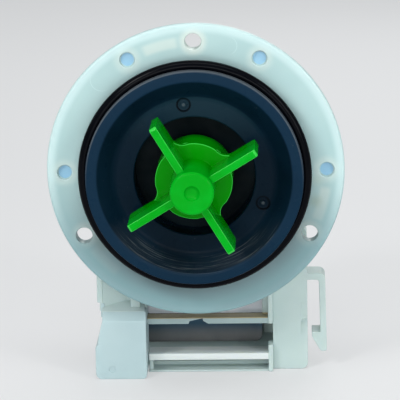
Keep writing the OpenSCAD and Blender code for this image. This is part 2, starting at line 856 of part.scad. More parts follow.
module frame_left_column() {
    foot = house_top;
    step_z = foot + left_step;
    x0 = -left_column_out;
    block([x0, left_plate_y, step_z], [-bay_left, left_column_y + left_rib_depth, left_column_top]);
    block([x0, left_column_y, step_z],
        [x0 + left_rib_w, left_column_y + left_rib_depth, left_column_top]);
    block([-inner_rib[1], left_column_y, foot],
        [-inner_rib[0], left_column_y + left_rib_depth, left_column_top]);
    block([x0 + left_step, left_plate_y, foot],
        [-bay_left, left_column_y + left_rib_depth, step_z + cut]);
    for (x = peg_xs) translate([x, peg_y, foot - peg_h]) cylinder(r = peg_r, h = peg_h + cut);
}

// Right column with the hook's catch, its side wall and the thin walls at the end of the bay
module frame_right_column() {
    x0 = bay_right;
    x1 = column_right;
    difference() {
        slab(column_y, column_back) polygon(outline([
            [x0, base_z], [x1, base_z, column_foot_r], [x1, column_top, column_top_r], [x0, column_top]
        ]));
        block([x0 + column_wall, column_y + column_plate, base_z + column_wall],
            [x1 - strike_wall, column_back + cut, column_top - column_wall]);
        rotate([90, 0, 90]) translate([0, 0, x1 - strike_w]) linear_extrude(strike_w + cut) polygon([
            [column_y - cut, strike_z], [column_y + strike_sink, strike_z],
            [column_y - cut, strike_z - strike_run * (1 + cut / strike_sink)]
        ]);
    }
    translate([0, 0, base_z]) linear_extrude(crossbar_h - crossbar_t) polygon([
        [x0, column_back - cut], [x0 + side_wall_t, column_back - cut],
        [x0 + side_wall_t, cheek_y + cheek_t], [shelf_wing - cut, cheek_y + cheek_t],
        [shelf_wing - cut, cheek_y], [x0, cheek_y]
    ]);
    block([x0, ring_back - ring_root, bracket_z],
        [x0 + bracket_w, column_y + column_plate, column_top]);
    block([x0 - end_wall_t, shelf_y, base_z], [x0, column_y + column_plate, base_z + end_wall_h]);
    block([x0 - end_wall_t, shelf_y, crossbar_z - crossbar_t],
        [x0, column_y + column_plate, end_wall_top]);
}

// Shelf under the core: raised lip, channel and foot in front, tongue for the housing, and the cheeks
module frame_shelf() {
    x0 = -bay_left + fit_gap;
    end_y = shelf_y + shelf_overhang;
    lip_back = end_y + lip_seat;
    foot_y = shelf_y + foot_inset;
    channel_back = end_y + channel_depth;
    rotate([90, 0, 90]) translate([0, 0, x0]) linear_extrude(bay_right - x0) polygon([
        [shelf_y, shelf_z - deck_t], [shelf_y, shelf_z + shelf_lip_h], [lip_back, shelf_z + shelf_lip_h],
        [lip_back, shelf_z], [shelf_back, shelf_z], [shelf_back, base_z], [foot_y, base_z],
        [foot_y, base_z + foot_t], [channel_back, base_z + foot_t], [channel_back, shelf_z - deck_t]
    ]);
    block([x0, end_y, base_z], [x0 + end_wall_t, channel_back + cut, shelf_z - deck_t / 2]);
    block([-shelf_wing, house_back + 2 * fit_gap, base_z], [-bay_left + cut, shelf_back, shelf_z]);
    block([-bay_left - tongue, tongue_y, tongue_z],
        [-bay_left + cut, tongue_y + tongue_w, tongue_z + tongue_h]);
    for (s = [0, 1]) mirror([s, 0, 0])
        block([core_half + fit_gap, cheek_y, shelf_z - seat_gap],
            [shelf_wing, shelf_back, shelf_z + cheek_h]);
    block([-shelf_wing, core_back + fit_gap, shelf_z - seat_gap],
        [shelf_wing, shelf_back, shelf_z + cheek_h / 2]);
}

// Bar across the front of the bay, with the break in its lower edge
module frame_crossbar() {
    z0 = crossbar_z - crossbar_t;
    difference() {
        block([-bay_left - tongue, crossbar_y, z0],
            [bay_right, crossbar_y + crossbar_depth, crossbar_z]);
        slab(crossbar_y - cut, crossbar_y + crossbar_depth + cut) polygon(concat(
            [[break_points[0][0], z0 - cut]],
            [for (p = break_points) [p[0], z0 + crossbar_t * p[1]]],
            [[break_points[len(break_points) - 1][0], z0 - cut]]
        ));
    }
}

// Bridge of the cable clip, with the seat that the arm's root turns in
module frame_bridge() {
    difference() {
        slab(column_y, column_y + clip_depth) polygon(outline([
            [column_right - strike_wall, bridge_z], [arm_out, bridge_z, bridge_corner_r], [arm_out, pivot[1]],
            [arm_x, pivot[1]], [arm_x, slot_top, slot_corner_r], [column_right - strike_wall, slot_top]
        ]));
        translate([pivot[0], 0, pivot[1]])
            rod(arm_root_r + turn_gap, column_y - cut, column_y + clip_depth + cut);
    }
}

module motor_frame() {
    color([0.86, 0.9, 0.86]) {
        frame_ring();
        frame_left_column();
        frame_right_column();
        frame_shelf();
        frame_crossbar();
        frame_bridge();
    }
}

module terminal_housing() {
    x0 = -house_left;
    x1 = -bay_left;
    w = house_wall;
    color([0.84, 0.91, 0.92]) difference() {
        union() {
            slab(house_y, house_back) polygon(outline([
                [x0, base_z, house_corner_r], [x1, base_z, house_inner_r], [x1, house_top, house_top_r],
                [x0 + left_step, house_top, house_top_r], [x0 + left_step, house_front_top],
                [x0 + flank_step, flank_zs[0]], [x0 + flank_step, flank_zs[1]], [x0, flank_zs[2]]
            ]));
            block([hook_tab_x - hook_tab_w, left_column_y, house_front_top],
                [hook_tab_x, left_plate_y + left_plate, house_top + left_step - fit_gap]);
        }
        block([x0 + left_step + w, house_y + w, base_z - cut], [x1 - w, house_back - w, block_z]);
        rotate([90, 0, 90]) translate([0, 0, x0 - cut]) linear_extrude(house_left) polygon([
            [house_y - cut, house_front_top], [house_y, house_front_top],
            [house_y + house_bevel, house_top], [house_y + house_bevel, house_top + cut / 2],
            [house_y - cut, house_top + cut / 2]
        ]);
        for (x = terminal_xs)
            block([x - terminal_t / 2 - seat_gap, terminal_y - terminal_w / 2 - seat_gap, block_z - cut],
                [x + terminal_t / 2 + seat_gap, terminal_y + terminal_w / 2 + seat_gap, house_top + cut]);
        for (x = peg_xs)
            translate([x, peg_y, house_top - peg_h - fit_gap])
                cylinder(r = peg_r + fit_gap / 2, h = peg_h + cut);
        block([x1 - w - cut, crossbar_y - fit_gap, crossbar_z - crossbar_t - fit_gap],
            [x1 + cut, crossbar_y + crossbar_depth + fit_gap, crossbar_z + fit_gap]);
        block([x1 - w - cut, tongue_y - fit_gap, tongue_z - fit_gap],
            [x1 + cut, tongue_y + tongue_w + fit_gap, tongue_z + tongue_h + fit_gap]);
    }
}

module spade_terminals() {
    color([0.78, 0.76, 0.7])
        for (x = terminal_xs) {
            block([x - terminal_t / 2, terminal_y - terminal_w / 2, block_z - terminal_len],
                [x + terminal_t / 2, terminal_y + terminal_w / 2, house_top]);
            block([x - terminal_t / 2, terminal_y + terminal_w / 2 - tail_w, house_top - cut],
                [x + terminal_t / 2, terminal_y + terminal_w / 2, house_top + tail_h]);
        }
}

// Two leads, from the terminal tails to the front of the left coil
module coil_leads() {
    r = lead_d / 2;
    color([0.7, 0.2, 0.12])
        for (i = [0, 1]) {
            foot = [terminal_xs[i], terminal_y + terminal_w / 2 + r + seat_gap];
            coil = [-leg_mid - tape_out[0] / 2 + lead_inset + lead_pitch * i, coil_front - r - seat_gap];
            span = norm(coil - foot);
            low = [0, house_top];
            first = [0, house_top + tail_h];
            second = [span, coil_z + lead_lift];
            high = second + [0, lead_run];
            translate(foot) rotate(atan2(coil[1] - foot[1], coil[0] - foot[0])) wire(concat(
                [low], rounded_corner(low, first, second, lead_bend_r),
                rounded_corner(first, second, high, lead_bend_r), [high]
            ), r);
        }
}

module latch_arm() {
    color([0.86, 0.9, 0.86]) slab(column_y, column_y + clip_depth) {
        polygon(outline([
            [pivot[0] - arm_root_r, pivot[1]], [hook_x + hook_reach, hook_z, hook_edge_r],
            [hook_x, hook_z, hook_edge_r], [hook_x, hook_z - hook_face, hook_edge_r],
            [arm_x + arm_lean, arm_end_z, arm_end_r], [arm_out + arm_lean, arm_end_z, arm_end_r],
            [pivot[0] + arm_root_r, pivot[1]]
        ]));
        translate(pivot) circle(r = arm_root_r);
    }
}

mounting_flange();
seal_ring();
chamber_cup();
bearing_carrier();
shaft_seal();
front_bearing();
front_thrust_washer();
rotor_shaft();
rotor_sleeve();
rotor_magnet();
rear_thrust_washer();
rear_bearing();
rear_bearing_cushion();
drive_dog();
dog_buffers();
impeller();
coupling_cover();
stator_core();
bobbin_left();
bobbin_right();
winding_left();
winding_right();
coil_tape_left();
coil_tape_right();
thermal_cutout();
motor_frame();
terminal_housing();
spade_terminals();
coil_leads();
latch_arm();
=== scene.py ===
import json
import math
import bmesh
import bpy
from mathutils import Matrix, Vector


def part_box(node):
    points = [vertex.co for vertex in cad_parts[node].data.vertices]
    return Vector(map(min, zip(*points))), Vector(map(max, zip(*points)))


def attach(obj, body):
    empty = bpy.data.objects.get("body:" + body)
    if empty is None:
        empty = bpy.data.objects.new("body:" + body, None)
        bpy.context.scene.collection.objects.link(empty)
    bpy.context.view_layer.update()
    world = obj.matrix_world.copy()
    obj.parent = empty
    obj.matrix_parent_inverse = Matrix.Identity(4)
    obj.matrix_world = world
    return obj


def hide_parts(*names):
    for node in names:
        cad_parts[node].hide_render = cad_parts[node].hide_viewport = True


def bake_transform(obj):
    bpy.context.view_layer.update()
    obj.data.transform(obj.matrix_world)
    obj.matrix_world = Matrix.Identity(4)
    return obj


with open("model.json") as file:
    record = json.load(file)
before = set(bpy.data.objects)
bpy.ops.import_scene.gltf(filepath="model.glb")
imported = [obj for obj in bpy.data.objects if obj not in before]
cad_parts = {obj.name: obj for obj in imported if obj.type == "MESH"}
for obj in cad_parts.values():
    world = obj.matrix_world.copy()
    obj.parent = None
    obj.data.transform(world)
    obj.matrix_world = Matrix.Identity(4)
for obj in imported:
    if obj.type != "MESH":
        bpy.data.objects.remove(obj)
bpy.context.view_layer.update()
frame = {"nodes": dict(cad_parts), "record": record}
mm = 0.001
nodes = frame["nodes"]
scene = bpy.context.scene
scene.view_settings.view_transform = "Standard"
print("frame loaded:", len(nodes), "nodes")


# places, in mm

def cadMm(node):
    low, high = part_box(node)
    return low / mm, high / mm


def polar(radius, degrees):
    turn = math.radians(degrees)
    return Vector((radius * math.cos(turn), 0, radius * math.sin(turn)))


flangeHigh = cadMm("mounting_flange")[1]
cupLow, cupHigh = cadMm("chamber_cup")
ringLow, ringHigh = cadMm("seal_ring")
wheelLow = cadMm("impeller")[0]
frameLow = cadMm("motor_frame")[0]
houseLow = cadMm("terminal_housing")[0]
armLow, armHigh = cadMm("latch_arm")
coreLow = cadMm("stator_core")[0]
mounts = {mount["name"]: mount for mount in frame["record"]["mounts"]}
holeCircle = mounts["flange_screws"]["dims"]["pcd_mm"] / 2
screwAngles = (90, 210, 330)
pocketAngles = (0, 60, 120, 180)
dishMarks = {"angles": (97.5, 217.5, 337.5), "circle": 23.5, "radius": 2.1}  # ejector marks


# node helpers for the finishes

def startFinish(name):
    material = bpy.data.materials.new(name)
    material.use_nodes = True
    tree = material.node_tree
    return material, tree, tree.nodes["Principled BSDF"]


def put(tree, kind, **settings):
    node = tree.nodes.new("ShaderNode" + kind)
    for key, value in settings.items():
        setattr(node, key, value)
    return node


def objectPlace(tree):
    return put(tree, "TexCoord").outputs["Object"]


def link(source, socket):
    source.id_data.links.new(source, socket)  # id_data is the tree that holds it


def split(vector):
    node = put(vector.id_data, "SeparateXYZ")
    link(vector, node.inputs[0])
    return node.outputs


def joined(**lengths):
    tree = next(iter(lengths.values())).id_data
    node = put(tree, "CombineXYZ")
    for axis, length in lengths.items():
        link(length, node.inputs[axis.upper()])
    return node.outputs["Vector"]


def reachFrom(place, centre):
    node = put(place.id_data, "VectorMath", operation="DISTANCE")
    node.inputs[1].default_value = centre * mm
    link(place, node.inputs[0])
    return node.outputs["Value"]


def noiseOf(place, scale, detail=2.0, rough=0.5):
    node = put(place.id_data, "TexNoise")
    node.inputs["Scale"].default_value = scale
    node.inputs["Detail"].default_value = detail
    node.inputs["Roughness"].default_value = rough
    link(place, node.inputs["Vector"])
    return node.outputs["Fac"]


def remap(value, ends, to=(0.0, 1.0)):
    node = put(value.id_data, "MapRange", interpolation_type="SMOOTHSTEP")
    numbers = {"From Min": ends[0], "From Max": ends[1], "To Min": to[0], "To Max": to[1]}
    for key, number in numbers.items():
        node.inputs[key].default_value = number
    link(value, node.inputs["Value"])
    return node.outputs["Result"]


# remap for a length, with its ends in mm
def fade(length, ends, to=(0.0, 1.0)):
    return remap(length, [end * mm for end in ends], to)


def calc(operation, *values):
    linked = [value for value in values if not isinstance(value, (int, float))]
    node = put(linked[0].id_data, "Math", operation=operation)
    for socket, value in zip(node.inputs, values):
        if isinstance(value, (int, float)):
            socket.default_value = value
        else:
            link(value, socket)
    return node.outputs["Value"]


def times(first, *others):
    for other in others:
        first = calc("MULTIPLY", first, other)
    return first


def strongest(first, *others):
    for other in others:
        first = calc("MAXIMUM", first, other)
    return first


def offFrom(value, middle):
    return calc("ABSOLUTE", calc("SUBTRACT", value, middle))


def tint(factor, first, second):
    node = put(factor.id_data, "Mix", data_type="RGBA")
    link(factor, node.inputs["Factor"])
    # 6 and 7 are the colours mixed, 2 is the colour that comes out
    for socket, value in ((node.inputs[6], first), (node.inputs[7], second)):
        if isinstance(value, tuple):
            socket.default_value = (*value, 1)
        else:
            link(value, socket)
    return node.outputs[2]


def paint(shader, colour):
    link(colour, shader.inputs["Base Color"])


def relief(shader, height, strength, depth):
    node = put(shader.id_data, "Bump")
    node.inputs["Strength"].default_value = strength
    node.inputs["Distance"].default_value = depth
    link(height, node.inputs["Height"])
    link(node.outputs["Normal"], shader.inputs["Normal"])


# flow shade and uneven gloss, for plastics and metals alike
surfaceSpans = {"flow": (0.35, 0.65), "gloss": (0.3, 0.7), "glossDetail": 3}


def surface(shader, place, look, flowDetail, glossScale):
    smears = noiseOf(place, glossScale, surfaceSpans["glossDetail"])
    gloss = remap(smears, surfaceSpans["gloss"], look["gloss"])
    link(gloss, shader.inputs["Roughness"])
    flow = remap(noiseOf(place, look["flow"], flowDetail), surfaceSpans["flow"])
    return tint(flow, look["colour"], look["shade"])


# a moulded plastic, with a fine grain; plainPlastic holds where a finish says nothing else
mouldingGrain = {"flowDetail": 3, "glossScale": 260, "depth": 0.0002, "bleedScale": 0.004}
plainPlastic = {"milk": 0.0, "shine": 0.4, "bleed": (1.0, 1.0, 1.0)}


def moulding(finish):
    look, grain = {**plainPlastic, **finish}, mouldingGrain
    material, tree, shader = startFinish(look["name"])
    place = objectPlace(tree)
    colour = surface(shader, place, look, grain["flowDetail"], grain["glossScale"])
    paint(shader, colour)
    relief(shader, noiseOf(place, look["grain"]), look["bite"], grain["depth"])
    shader.inputs["Subsurface Weight"].default_value = look["milk"]
    shader.inputs["Subsurface Radius"].default_value = look["bleed"]
    shader.inputs["Subsurface Scale"].default_value = grain["bleedScale"]
    shader.inputs["Specular IOR Level"].default_value = look["shine"]
    return material, tree, shader, colour


mouldings = {
    "cream": {"name": "creamMoulding", "colour": (0.53, 0.65, 0.63), "shade": (0.49, 0.615, 0.60),
              "flow": 45, "gloss": (0.36, 0.48), "grain": 1900, "bite": 0.10, "milk": 0.25,
              "bleed": (1.0, 0.95, 0.7)},
    "house": {"name": "housingMoulding", "colour": (0.46, 0.60, 0.62),
              "shade": (0.43, 0.57, 0.595), "flow": 40, "gloss": (0.34, 0.46), "grain": 1900,
              "bite": 0.10, "milk": 0.25, "bleed": (0.9, 1.0, 1.0)},
    # near black with a teal tint: painted shade for the dark well round the bearing carrier
    "carrier": {"name": "carrierMoulding", "colour": (0.0015, 0.0055, 0.008),
                "shade": (0.002, 0.007, 0.010), "flow": 80, "gloss": (0.4, 0.55), "grain": 2400,
                "bite": 0.15, "shine": 0.05},
    "natural": {"name": "naturalMoulding", "colour": (0.62, 0.58, 0.45),
                "shade": (0.54, 0.5, 0.38), "flow": 90, "gloss": (0.4, 0.5), "grain": 2200,
                "bite": 0.1, "milk": 0.15, "bleed": (1.0, 0.9, 0.6)},
    "bobbin": {"name": "bobbinMoulding", "colour": (0.80, 0.80, 0.84),
               "shade": (0.75, 0.76, 0.81), "flow": 60, "gloss": (0.42, 0.55), "grain": 2000,
               "bite": 0.12, "milk": 0.1, "bleed": (1.0, 0.9, 0.8)},
    "lead": {"name": "leadCover", "colour": (0.36, 0.03, 0.02), "shade": (0.28, 0.022, 0.016),
             "flow": 120, "gloss": (0.35, 0.45), "grain": 2600, "bite": 0.08},
}


def plainMoulding(kind):
    return moulding(mouldings[kind])[0]


# the cradle's cream, with painted shade and light: the crossbar greyed in front and tan on top as
# painted shade under the flange, brown along its back, the shelf painted pale as painted light
creamPatches = {
    # painted shade on the crossbar's front and top
    "barFrontShade": {"low": (-19.2, 11.8, -55.2), "high": (22.4, 12.5, -53.0),
                 "tone": (0.33, 0.44, 0.45), "share": 0.8},
    "barTopShade": {"low": (-19.2, 11.9, -53.0), "high": (22.4, 18.4, -52.2),
               "tone": (0.42, 0.35, 0.20), "share": 1.0},
    "barBack": {"low": (-19.2, 16.9, -53.0), "high": (22.4, 18.4, -52.2),
                "tone": (0.13, 0.085, 0.04), "share": 1.0},
    # painted light: the shelf's lip and deck painted pale
    "shelf": {"low": (-17.6, 11.4, -67.45), "high": (22.45, 24.0, -64.8),
              "tone": (0.76, 0.82, 0.81), "share": 0.9},
}


def patchedCream(patches):
    material, tree, shader, colour = moulding(mouldings["cream"])
    parts = split(objectPlace(tree))
    for patch in patches.values():
        covered = patch["share"]
        for axis, low, high in zip("XYZ", patch["low"], patch["high"]):
            for operation, edge in (("GREATER_THAN", low), ("LESS_THAN", high)):
                covered = times(calc(operation, parts[axis], edge * mm), covered)
        colour = tint(covered, colour, patch["tone"])
    paint(shader, colour)
    return material


creamMoulding = patchedCream(creamPatches)
housingMoulding = plainMoulding("house")
carrierMoulding = plainMoulding("carrier")
naturalMoulding = plainMoulding("natural")
bobbinMoulding = plainMoulding("bobbin")
leadCover = plainMoulding("lead")


# milky flange: creamy round the holes and in a bar beside each screw hole; painted light: the
# outer rim painted bright, pocket floors painted light blue as painted backlight, witness rings
# painted pale on one side as a painted highlight;
# painted shade: dimmer low down where the motor stands behind it, darker inside by the collar,
# tinted spots where parts stand behind
flangeFinish = {
    "name": "milkyFlange", "colour": (0.41, 0.59, 0.585), "shade": (0.38, 0.56, 0.56),
    "flow": 32, "gloss": (0.3, 0.42), "grain": 1700, "bite": 0.07, "milk": 0.3,
    "bleed": (0.8, 1.0, 1.0),
    # painted shade: darker inside, where the collar and the dark cup stand behind
    "inner": (0.38, 0.545, 0.545), "innerShadeFade": (36.2, 40.5),
    # painted light: the outer rim painted bright
    "rim": (0.62, 0.78, 0.78), "litRimFade": (44.4, 46.6), "litRimShare": 0.55,
    "pale": (0.64, 0.72, 0.66), "paleShare": 0.7, "bossFade": (2.9, 5.4), "haloShare": 0.5,
    # painted backlight: pocket floors painted light blue
    "thin": (0.26, 0.52, 0.72), "thinShare": 0.9, "pocketFade": (1.9, 2.4),
    # painted shade: dimmer low down
    "dimInner": (0.09, 0.15, 0.17), "dimRim": (0.16, 0.30, 0.33), "dimRing": (38.5, 45.0),
    "dimFade": (2.0, -30.0), "dimShare": 0.8,
    "barTurn": 14.5, "barReach": 7.4, "barEnds": (1.2, 0.8), "barHalf": 1.7,
    "barSides": (1.4, 0.5), "barShare": 0.75,
    # witness rings, painted pale on one side only as a painted highlight
    "marks": ((74.7, 2.85, 1.0, 0.0), (134.3, 3.6, -0.7, -0.7)), "markWidth": 0.16,
    "markShare": 0.5,
    # painted shade: parts behind, seen through the plastic, as tinted spots
    "seenThroughShades": ((-31.0, -24.0, 5.0, (0.30, 0.36, 0.28)), (38.6, -10.5, 3.2, (0.33, 0.42, 0.33)),
                (39.0, -3.5, 3.0, (0.45, 0.58, 0.52))),
    "seenThroughShare": 0.6,
}


def milkyFlange(look):
    material, tree, shader, colour = moulding(look)
    parts = split(objectPlace(tree))
    flat = joined(x=parts["X"], z=parts["Z"])

    def roundHoles(angles, ends):
        reaches = [reachFrom(flat, polar(holeCircle, angle)) for angle in angles]
        return strongest(*(fade(reach, ends[::-1]) for reach in reaches))

    radius = reachFrom(flat, Vector((0, 0, 0)))
    # painted shade inside, by the collar
    inner = calc("SUBTRACT", 1.0, fade(radius, look["innerShadeFade"]))
    milky = tint(inner, colour, look["inner"])

    halos = times(roundHoles(pocketAngles, look["bossFade"]), look["haloShare"])
    bosses = strongest(roundHoles(screwAngles, look["bossFade"]), halos)
    third = 2 * math.pi / len(screwAngles)
    start = math.radians(screwAngles[0] + look["barTurn"]) - third / 2
    turn = calc("ARCTAN2", parts["Z"], parts["X"])
    swing = calc("FLOORED_MODULO", calc("SUBTRACT", turn, start), third)
    ends = [math.radians(look["barReach"]) * share for share in look["barEnds"]]
    along = remap(offFrom(swing, third / 2), ends)
    sides = [look["barHalf"] * share for share in look["barSides"]]
    across = fade(offFrom(radius, holeCircle * mm), sides)
    bars = times(along, across, look["barShare"])
    pale = times(strongest(bosses, bars), look["paleShare"])
    milky = tint(pale, milky, look["pale"])

    # painted shade of the parts behind, seen through the plastic
    for across, up, size, tone in look["seenThroughShades"]:
        patch = fade(reachFrom(flat, Vector((across, 0, up))), (size, 0.0))
        milky = tint(times(patch, look["seenThroughShare"]), milky, tone)
    # painted light along the outer rim
    rim = times(fade(radius, look["litRimFade"]), look["litRimShare"])
    milky = tint(rim, milky, look["rim"])
    # painted shade low down, where the motor stands behind
    low = times(fade(parts["Z"], look["dimFade"]), look["dimShare"])
    dim = tint(fade(radius, look["dimRing"]), look["dimInner"], look["dimRim"])
    milky = tint(low, milky, dim)

    # witness rings, painted pale only on the side that would catch the light: a painted highlight
    for angle, size, across, up in look["marks"]:
        centre = polar(holeCircle, angle)
        line = offFrom(reachFrom(flat, centre), size * mm)
        ring = fade(line, (look["markWidth"], 0.0))
        side = calc("ADD", times(parts["X"], across), times(parts["Z"], up))
        lean = centre.x * across + centre.z * up
        seen = fade(side, (lean, lean + size))
        milky = tint(times(ring, seen, look["markShare"]), milky, look["rim"])
    # painted backlight: light blue pocket floors
    thin = times(roundHoles(pocketAngles, look["pocketFade"]), look["thinShare"])
    paint(shader, tint(thin, milky, look["thin"]))
    return material


flangeMilk = milkyFlange(flangeFinish)


# dark slate dish: rubbed where the slope meets the floor; painted light on a bluer rim and a
# lighter upper floor, a painted highlight, broken by noise, along the rim's outer edge; painted
# shade in dark rings round its marks, a lighter dot at each mark's centre
dishFinish = {
    "name": "slateDish", "colour": (0.0022, 0.011, 0.022), "shade": (0.0015, 0.008, 0.0165),
    "flow": 50, "gloss": (0.26, 0.38), "grain": 1600, "bite": 0.05, "shine": 0.035,
    "streakTurn": 1.6, "streakReach": 3000.0,
    # one pale colour for the real rub wear and for the painted highlight on the rim's edge
    "rubAndHighlight": (0.14, 0.16, 0.17), "rubSpan": (0.52, 0.74), "rubDepth": (0.05, 1.0),
    "rubInner": (25.5, 28.5), "rubOuter": (32.5, 30.5), "rubBelow": (-12.0, -21.6),
    "rubShare": 0.6, "speckScale": 900, "speckSpan": (0.72, 0.8), "speckShare": 0.25,
    # painted light: the upper floor lighter
    "high": (0.008, 0.026, 0.040), "litFloorFrom": (8.0, 27.0), "floorEdge": (26.2, 25.6),
    # painted light: the rim lighter and bluer than the shaded floor
    "rim": (0.005, 0.022, 0.046), "litRimFade": (30.9, 31.5),
    # painted highlight along the rim's outer edge, stronger higher up, broken by noise
    "edgeHighlightLine": (34.2, 34.5), "edgeHighlightFrom": (-6.0, 16.0), "edgeHighlightShare": 0.55,
    "highlightBreakScale": 0.8, "highlightBreakSpan": (0.25, 0.6), "highlightBreakDepth": (0.35, 1.0),
    # painted shade: dark rings round the marks
    "markShade": (0.0004, 0.002, 0.004), "markLine": (0.42, 0.168), "markShare": 0.85,
    "dot": (0.7, 0.3), "dotShare": 0.3,
}


def slateDish(look):
    material, tree, shader, colour = moulding(look)
    place = objectPlace(tree)
    parts = split(place)
    flat = joined(x=parts["X"], z=parts["Z"])
    radius = reachFrom(flat, Vector((0, 0, 0)))
    turn = calc("ARCTAN2", parts["Z"], parts["X"])
    streaks = joined(x=times(turn, look["streakTurn"]), y=times(radius, look["streakReach"]))

    lines = noiseOf(streaks, scale=1.0, detail=3, rough=0.6)
    rubs = times(remap(lines, look["rubSpan"], look["rubDepth"]),
                 fade(radius, look["rubInner"]), fade(radius, look["rubOuter"]),
                 fade(parts["Z"], look["rubBelow"]), look["rubShare"])
    specks = remap(noiseOf(place, look["speckScale"], rough=0.6), look["speckSpan"])
    worn = strongest(rubs, times(specks, look["speckShare"]))

    # painted light on the upper floor
    upper = times(fade(parts["Z"], look["litFloorFrom"]), fade(radius, look["floorEdge"]))
    colour = tint(upper, colour, look["high"])
    # painted light on the rim
    colour = tint(fade(radius, look["litRimFade"]), colour, look["rim"])
    for angle in dishMarks["angles"]:
        away = reachFrom(flat, polar(dishMarks["circle"], angle))
        # painted shade in a dark ring round each mark
        ring = fade(offFrom(away, dishMarks["radius"] * mm), look["markLine"])
        colour = tint(times(ring, look["markShare"]), colour, look["markShade"])
        dot = times(fade(away, look["dot"]), look["dotShare"])
        worn = strongest(worn, dot)
    # noise that breaks up the painted highlight along the rim's edge
    highlightBreaks = remap(noiseOf(streaks, look["highlightBreakScale"]), look["highlightBreakSpan"], look["highlightBreakDepth"])
    edge = times(fade(radius, look["edgeHighlightLine"]), fade(parts["Z"], look["edgeHighlightFrom"]), highlightBreaks,
                 look["edgeHighlightShare"])
    paint(shader, tint(strongest(worn, edge), colour, look["rubAndHighlight"]))
    return material


dishSlate = slateDish(dishFinish)


# green impeller: painted shade, darker towards its back, and painted highlights, paler along
# rounded edges outside the hub
greenFinish = {
    "name": "greenMoulding", "colour": (0.0, 0.36, 0.014), "shade": (0.0, 0.315, 0.008),
    "flow": 110, "gloss": (0.15, 0.2), "grain": 1500, "bite": 0.008, "shine": 0.06,
    # painted shade: darker green towards the back
    "bleed": (0.1, 1.0, 0.15), "backShade": (0.0, 0.27, 0.0), "backShadeFrom": (-26.0, -15.0),
    # painted highlight: paler along rounded edges outside the hub
    "edge": (0.05, 0.62, 0.08), "edgeHighlightShare": 0.75, "edgeHighlightFrom": (7.4, 8.2),
    "highlightSide": (0.15, 0.4), "highlightFace": (0.97, 0.85),
}


def greenWithPaintedLight(look):
    material, tree, shader, colour = moulding(look)
    parts = split(objectPlace(tree))
    # painted shade towards the back
    green = tint(fade(parts["Y"], look["backShadeFrom"]), colour, look["backShade"])
    # painted highlight on rounded edges, picked out by the surface's normal
    normal = split(put(tree, "TexCoord").outputs["Normal"])
    facing = calc("ABSOLUTE", normal["Y"])
    radius = reachFrom(joined(x=parts["X"], z=parts["Z"]), Vector((0, 0, 0)))
    edge = times(remap(facing, look["highlightSide"]), remap(facing, look["highlightFace"]),
                 fade(radius, look["edgeHighlightFrom"]), look["edgeHighlightShare"])
    paint(shader, tint(edge, green, look["edge"]))
    return material


greenMoulding = greenWithPaintedLight(greenFinish)


# rubber of the seal ring, the shaft seal and the buffers
rubberFinish = {
    "name": "sealRubber", "colour": (0.0012, 0.0016, 0.003), "shade": (0.002, 0.0024, 0.004),
    "flow": 150, "gloss": (0.16, 0.24), "grain": 2600, "bite": 0.03, "shine": 0.05,
}
sealRubber = moulding(rubberFinish)[0]


# tape round the coils: overlapping turns
tapeFinish = {
    "name": "coilTape", "colour": (0.68, 0.66, 0.72), "shade": (0.62, 0.60, 0.67),
    "flow": 70, "gloss": (0.3, 0.42), "grain": 2200, "bite": 0.06, "turn": 8.0, "slant": 0.12,
    "lap": (0.0, 0.08), "lapBite": 0.5, "lapDepth": 0.0003,
    "dark": (0.2, 0.18, 0.2), "darkSpan": (0.0, 0.1), "darkShare": (0.35, 0.0),
}


def coilTape(look):
    material, tree, shader, colour = moulding(look)
    parts = split(objectPlace(tree))
    slant = calc("ADD", parts["Z"], times(parts["X"], look["slant"]))
    step = calc("FRACT", calc("DIVIDE", slant, look["turn"] * mm))
    relief(shader, remap(step, look["lap"]), look["lapBite"], look["lapDepth"])
    edge = remap(step, look["darkSpan"], look["darkShare"])
    paint(shader, tint(edge, colour, look["dark"]))
    return material


tapeFilm = coilTape(tapeFinish)


# metals: sheets and turns of wire show as seams; the core's front carries painted shade and
# reflection, a dark blue band
metals = {
    "core": {"name": "laminatedSteel", "colour": (0.20, 0.215, 0.22),
             "shade": (0.25, 0.255, 0.255), "flow": 70, "gloss": (0.34, 0.5), "metal": 0.75,
             "sheet": 0.5, "along": "Y", "streak": 0.45, "streakRise": 700.0,
             "streakSpan": (0.35, 0.65), "streakDark": (0.08, 0.085, 0.09),
             # painted shade and reflection: a dark blue band across the core's front
             "blueShade": (0.014, 0.05, 0.085), "blueShadeFrom": (-64.5, -59.5), "blueShadeShare": 0.92,
             "blueShadeTo": (-46.0, -51.0), "blueShadeDepth": (2.0, 0.5)},
    "shaft": {"name": "groundSteel", "colour": (0.55, 0.56, 0.57), "shade": (0.48, 0.49, 0.5),
              "flow": 200, "gloss": (0.2, 0.3), "metal": 1.0, "sheet": 0.15, "along": "Y"},
    "bush": {"name": "sinteredBronze", "colour": (0.36, 0.25, 0.12), "shade": (0.3, 0.2, 0.09),
             "flow": 500, "gloss": (0.4, 0.6), "metal": 1.0},
    "magnet": {"name": "groundFerrite", "colour": (0.05, 0.048, 0.046),
               "shade": (0.065, 0.062, 0.06), "flow": 400, "gloss": (0.45, 0.6), "metal": 0.3},
    "copper": {"name": "enamelWire", "colour": (0.42, 0.13, 0.04), "shade": (0.34, 0.1, 0.03),
               "flow": 200, "gloss": (0.25, 0.35), "metal": 0.9, "sheet": 0.35, "along": "Z"},
    "tin": {"name": "tinnedBrass", "colour": (0.58, 0.56, 0.5), "shade": (0.5, 0.48, 0.42),
            "flow": 160, "gloss": (0.25, 0.38), "metal": 1.0},
}
metalGrain = {"flowDetail": 4, "glossScale": 320, "scale": 1800, "bite": 0.1, "depth": 0.0001}
metalSeam = {"middle": 0.5, "span": (0.38, 0.5), "bite": 0.35, "depth": -0.0001, "share": 0.4,
             "dark": (0.02, 0.02, 0.02)}


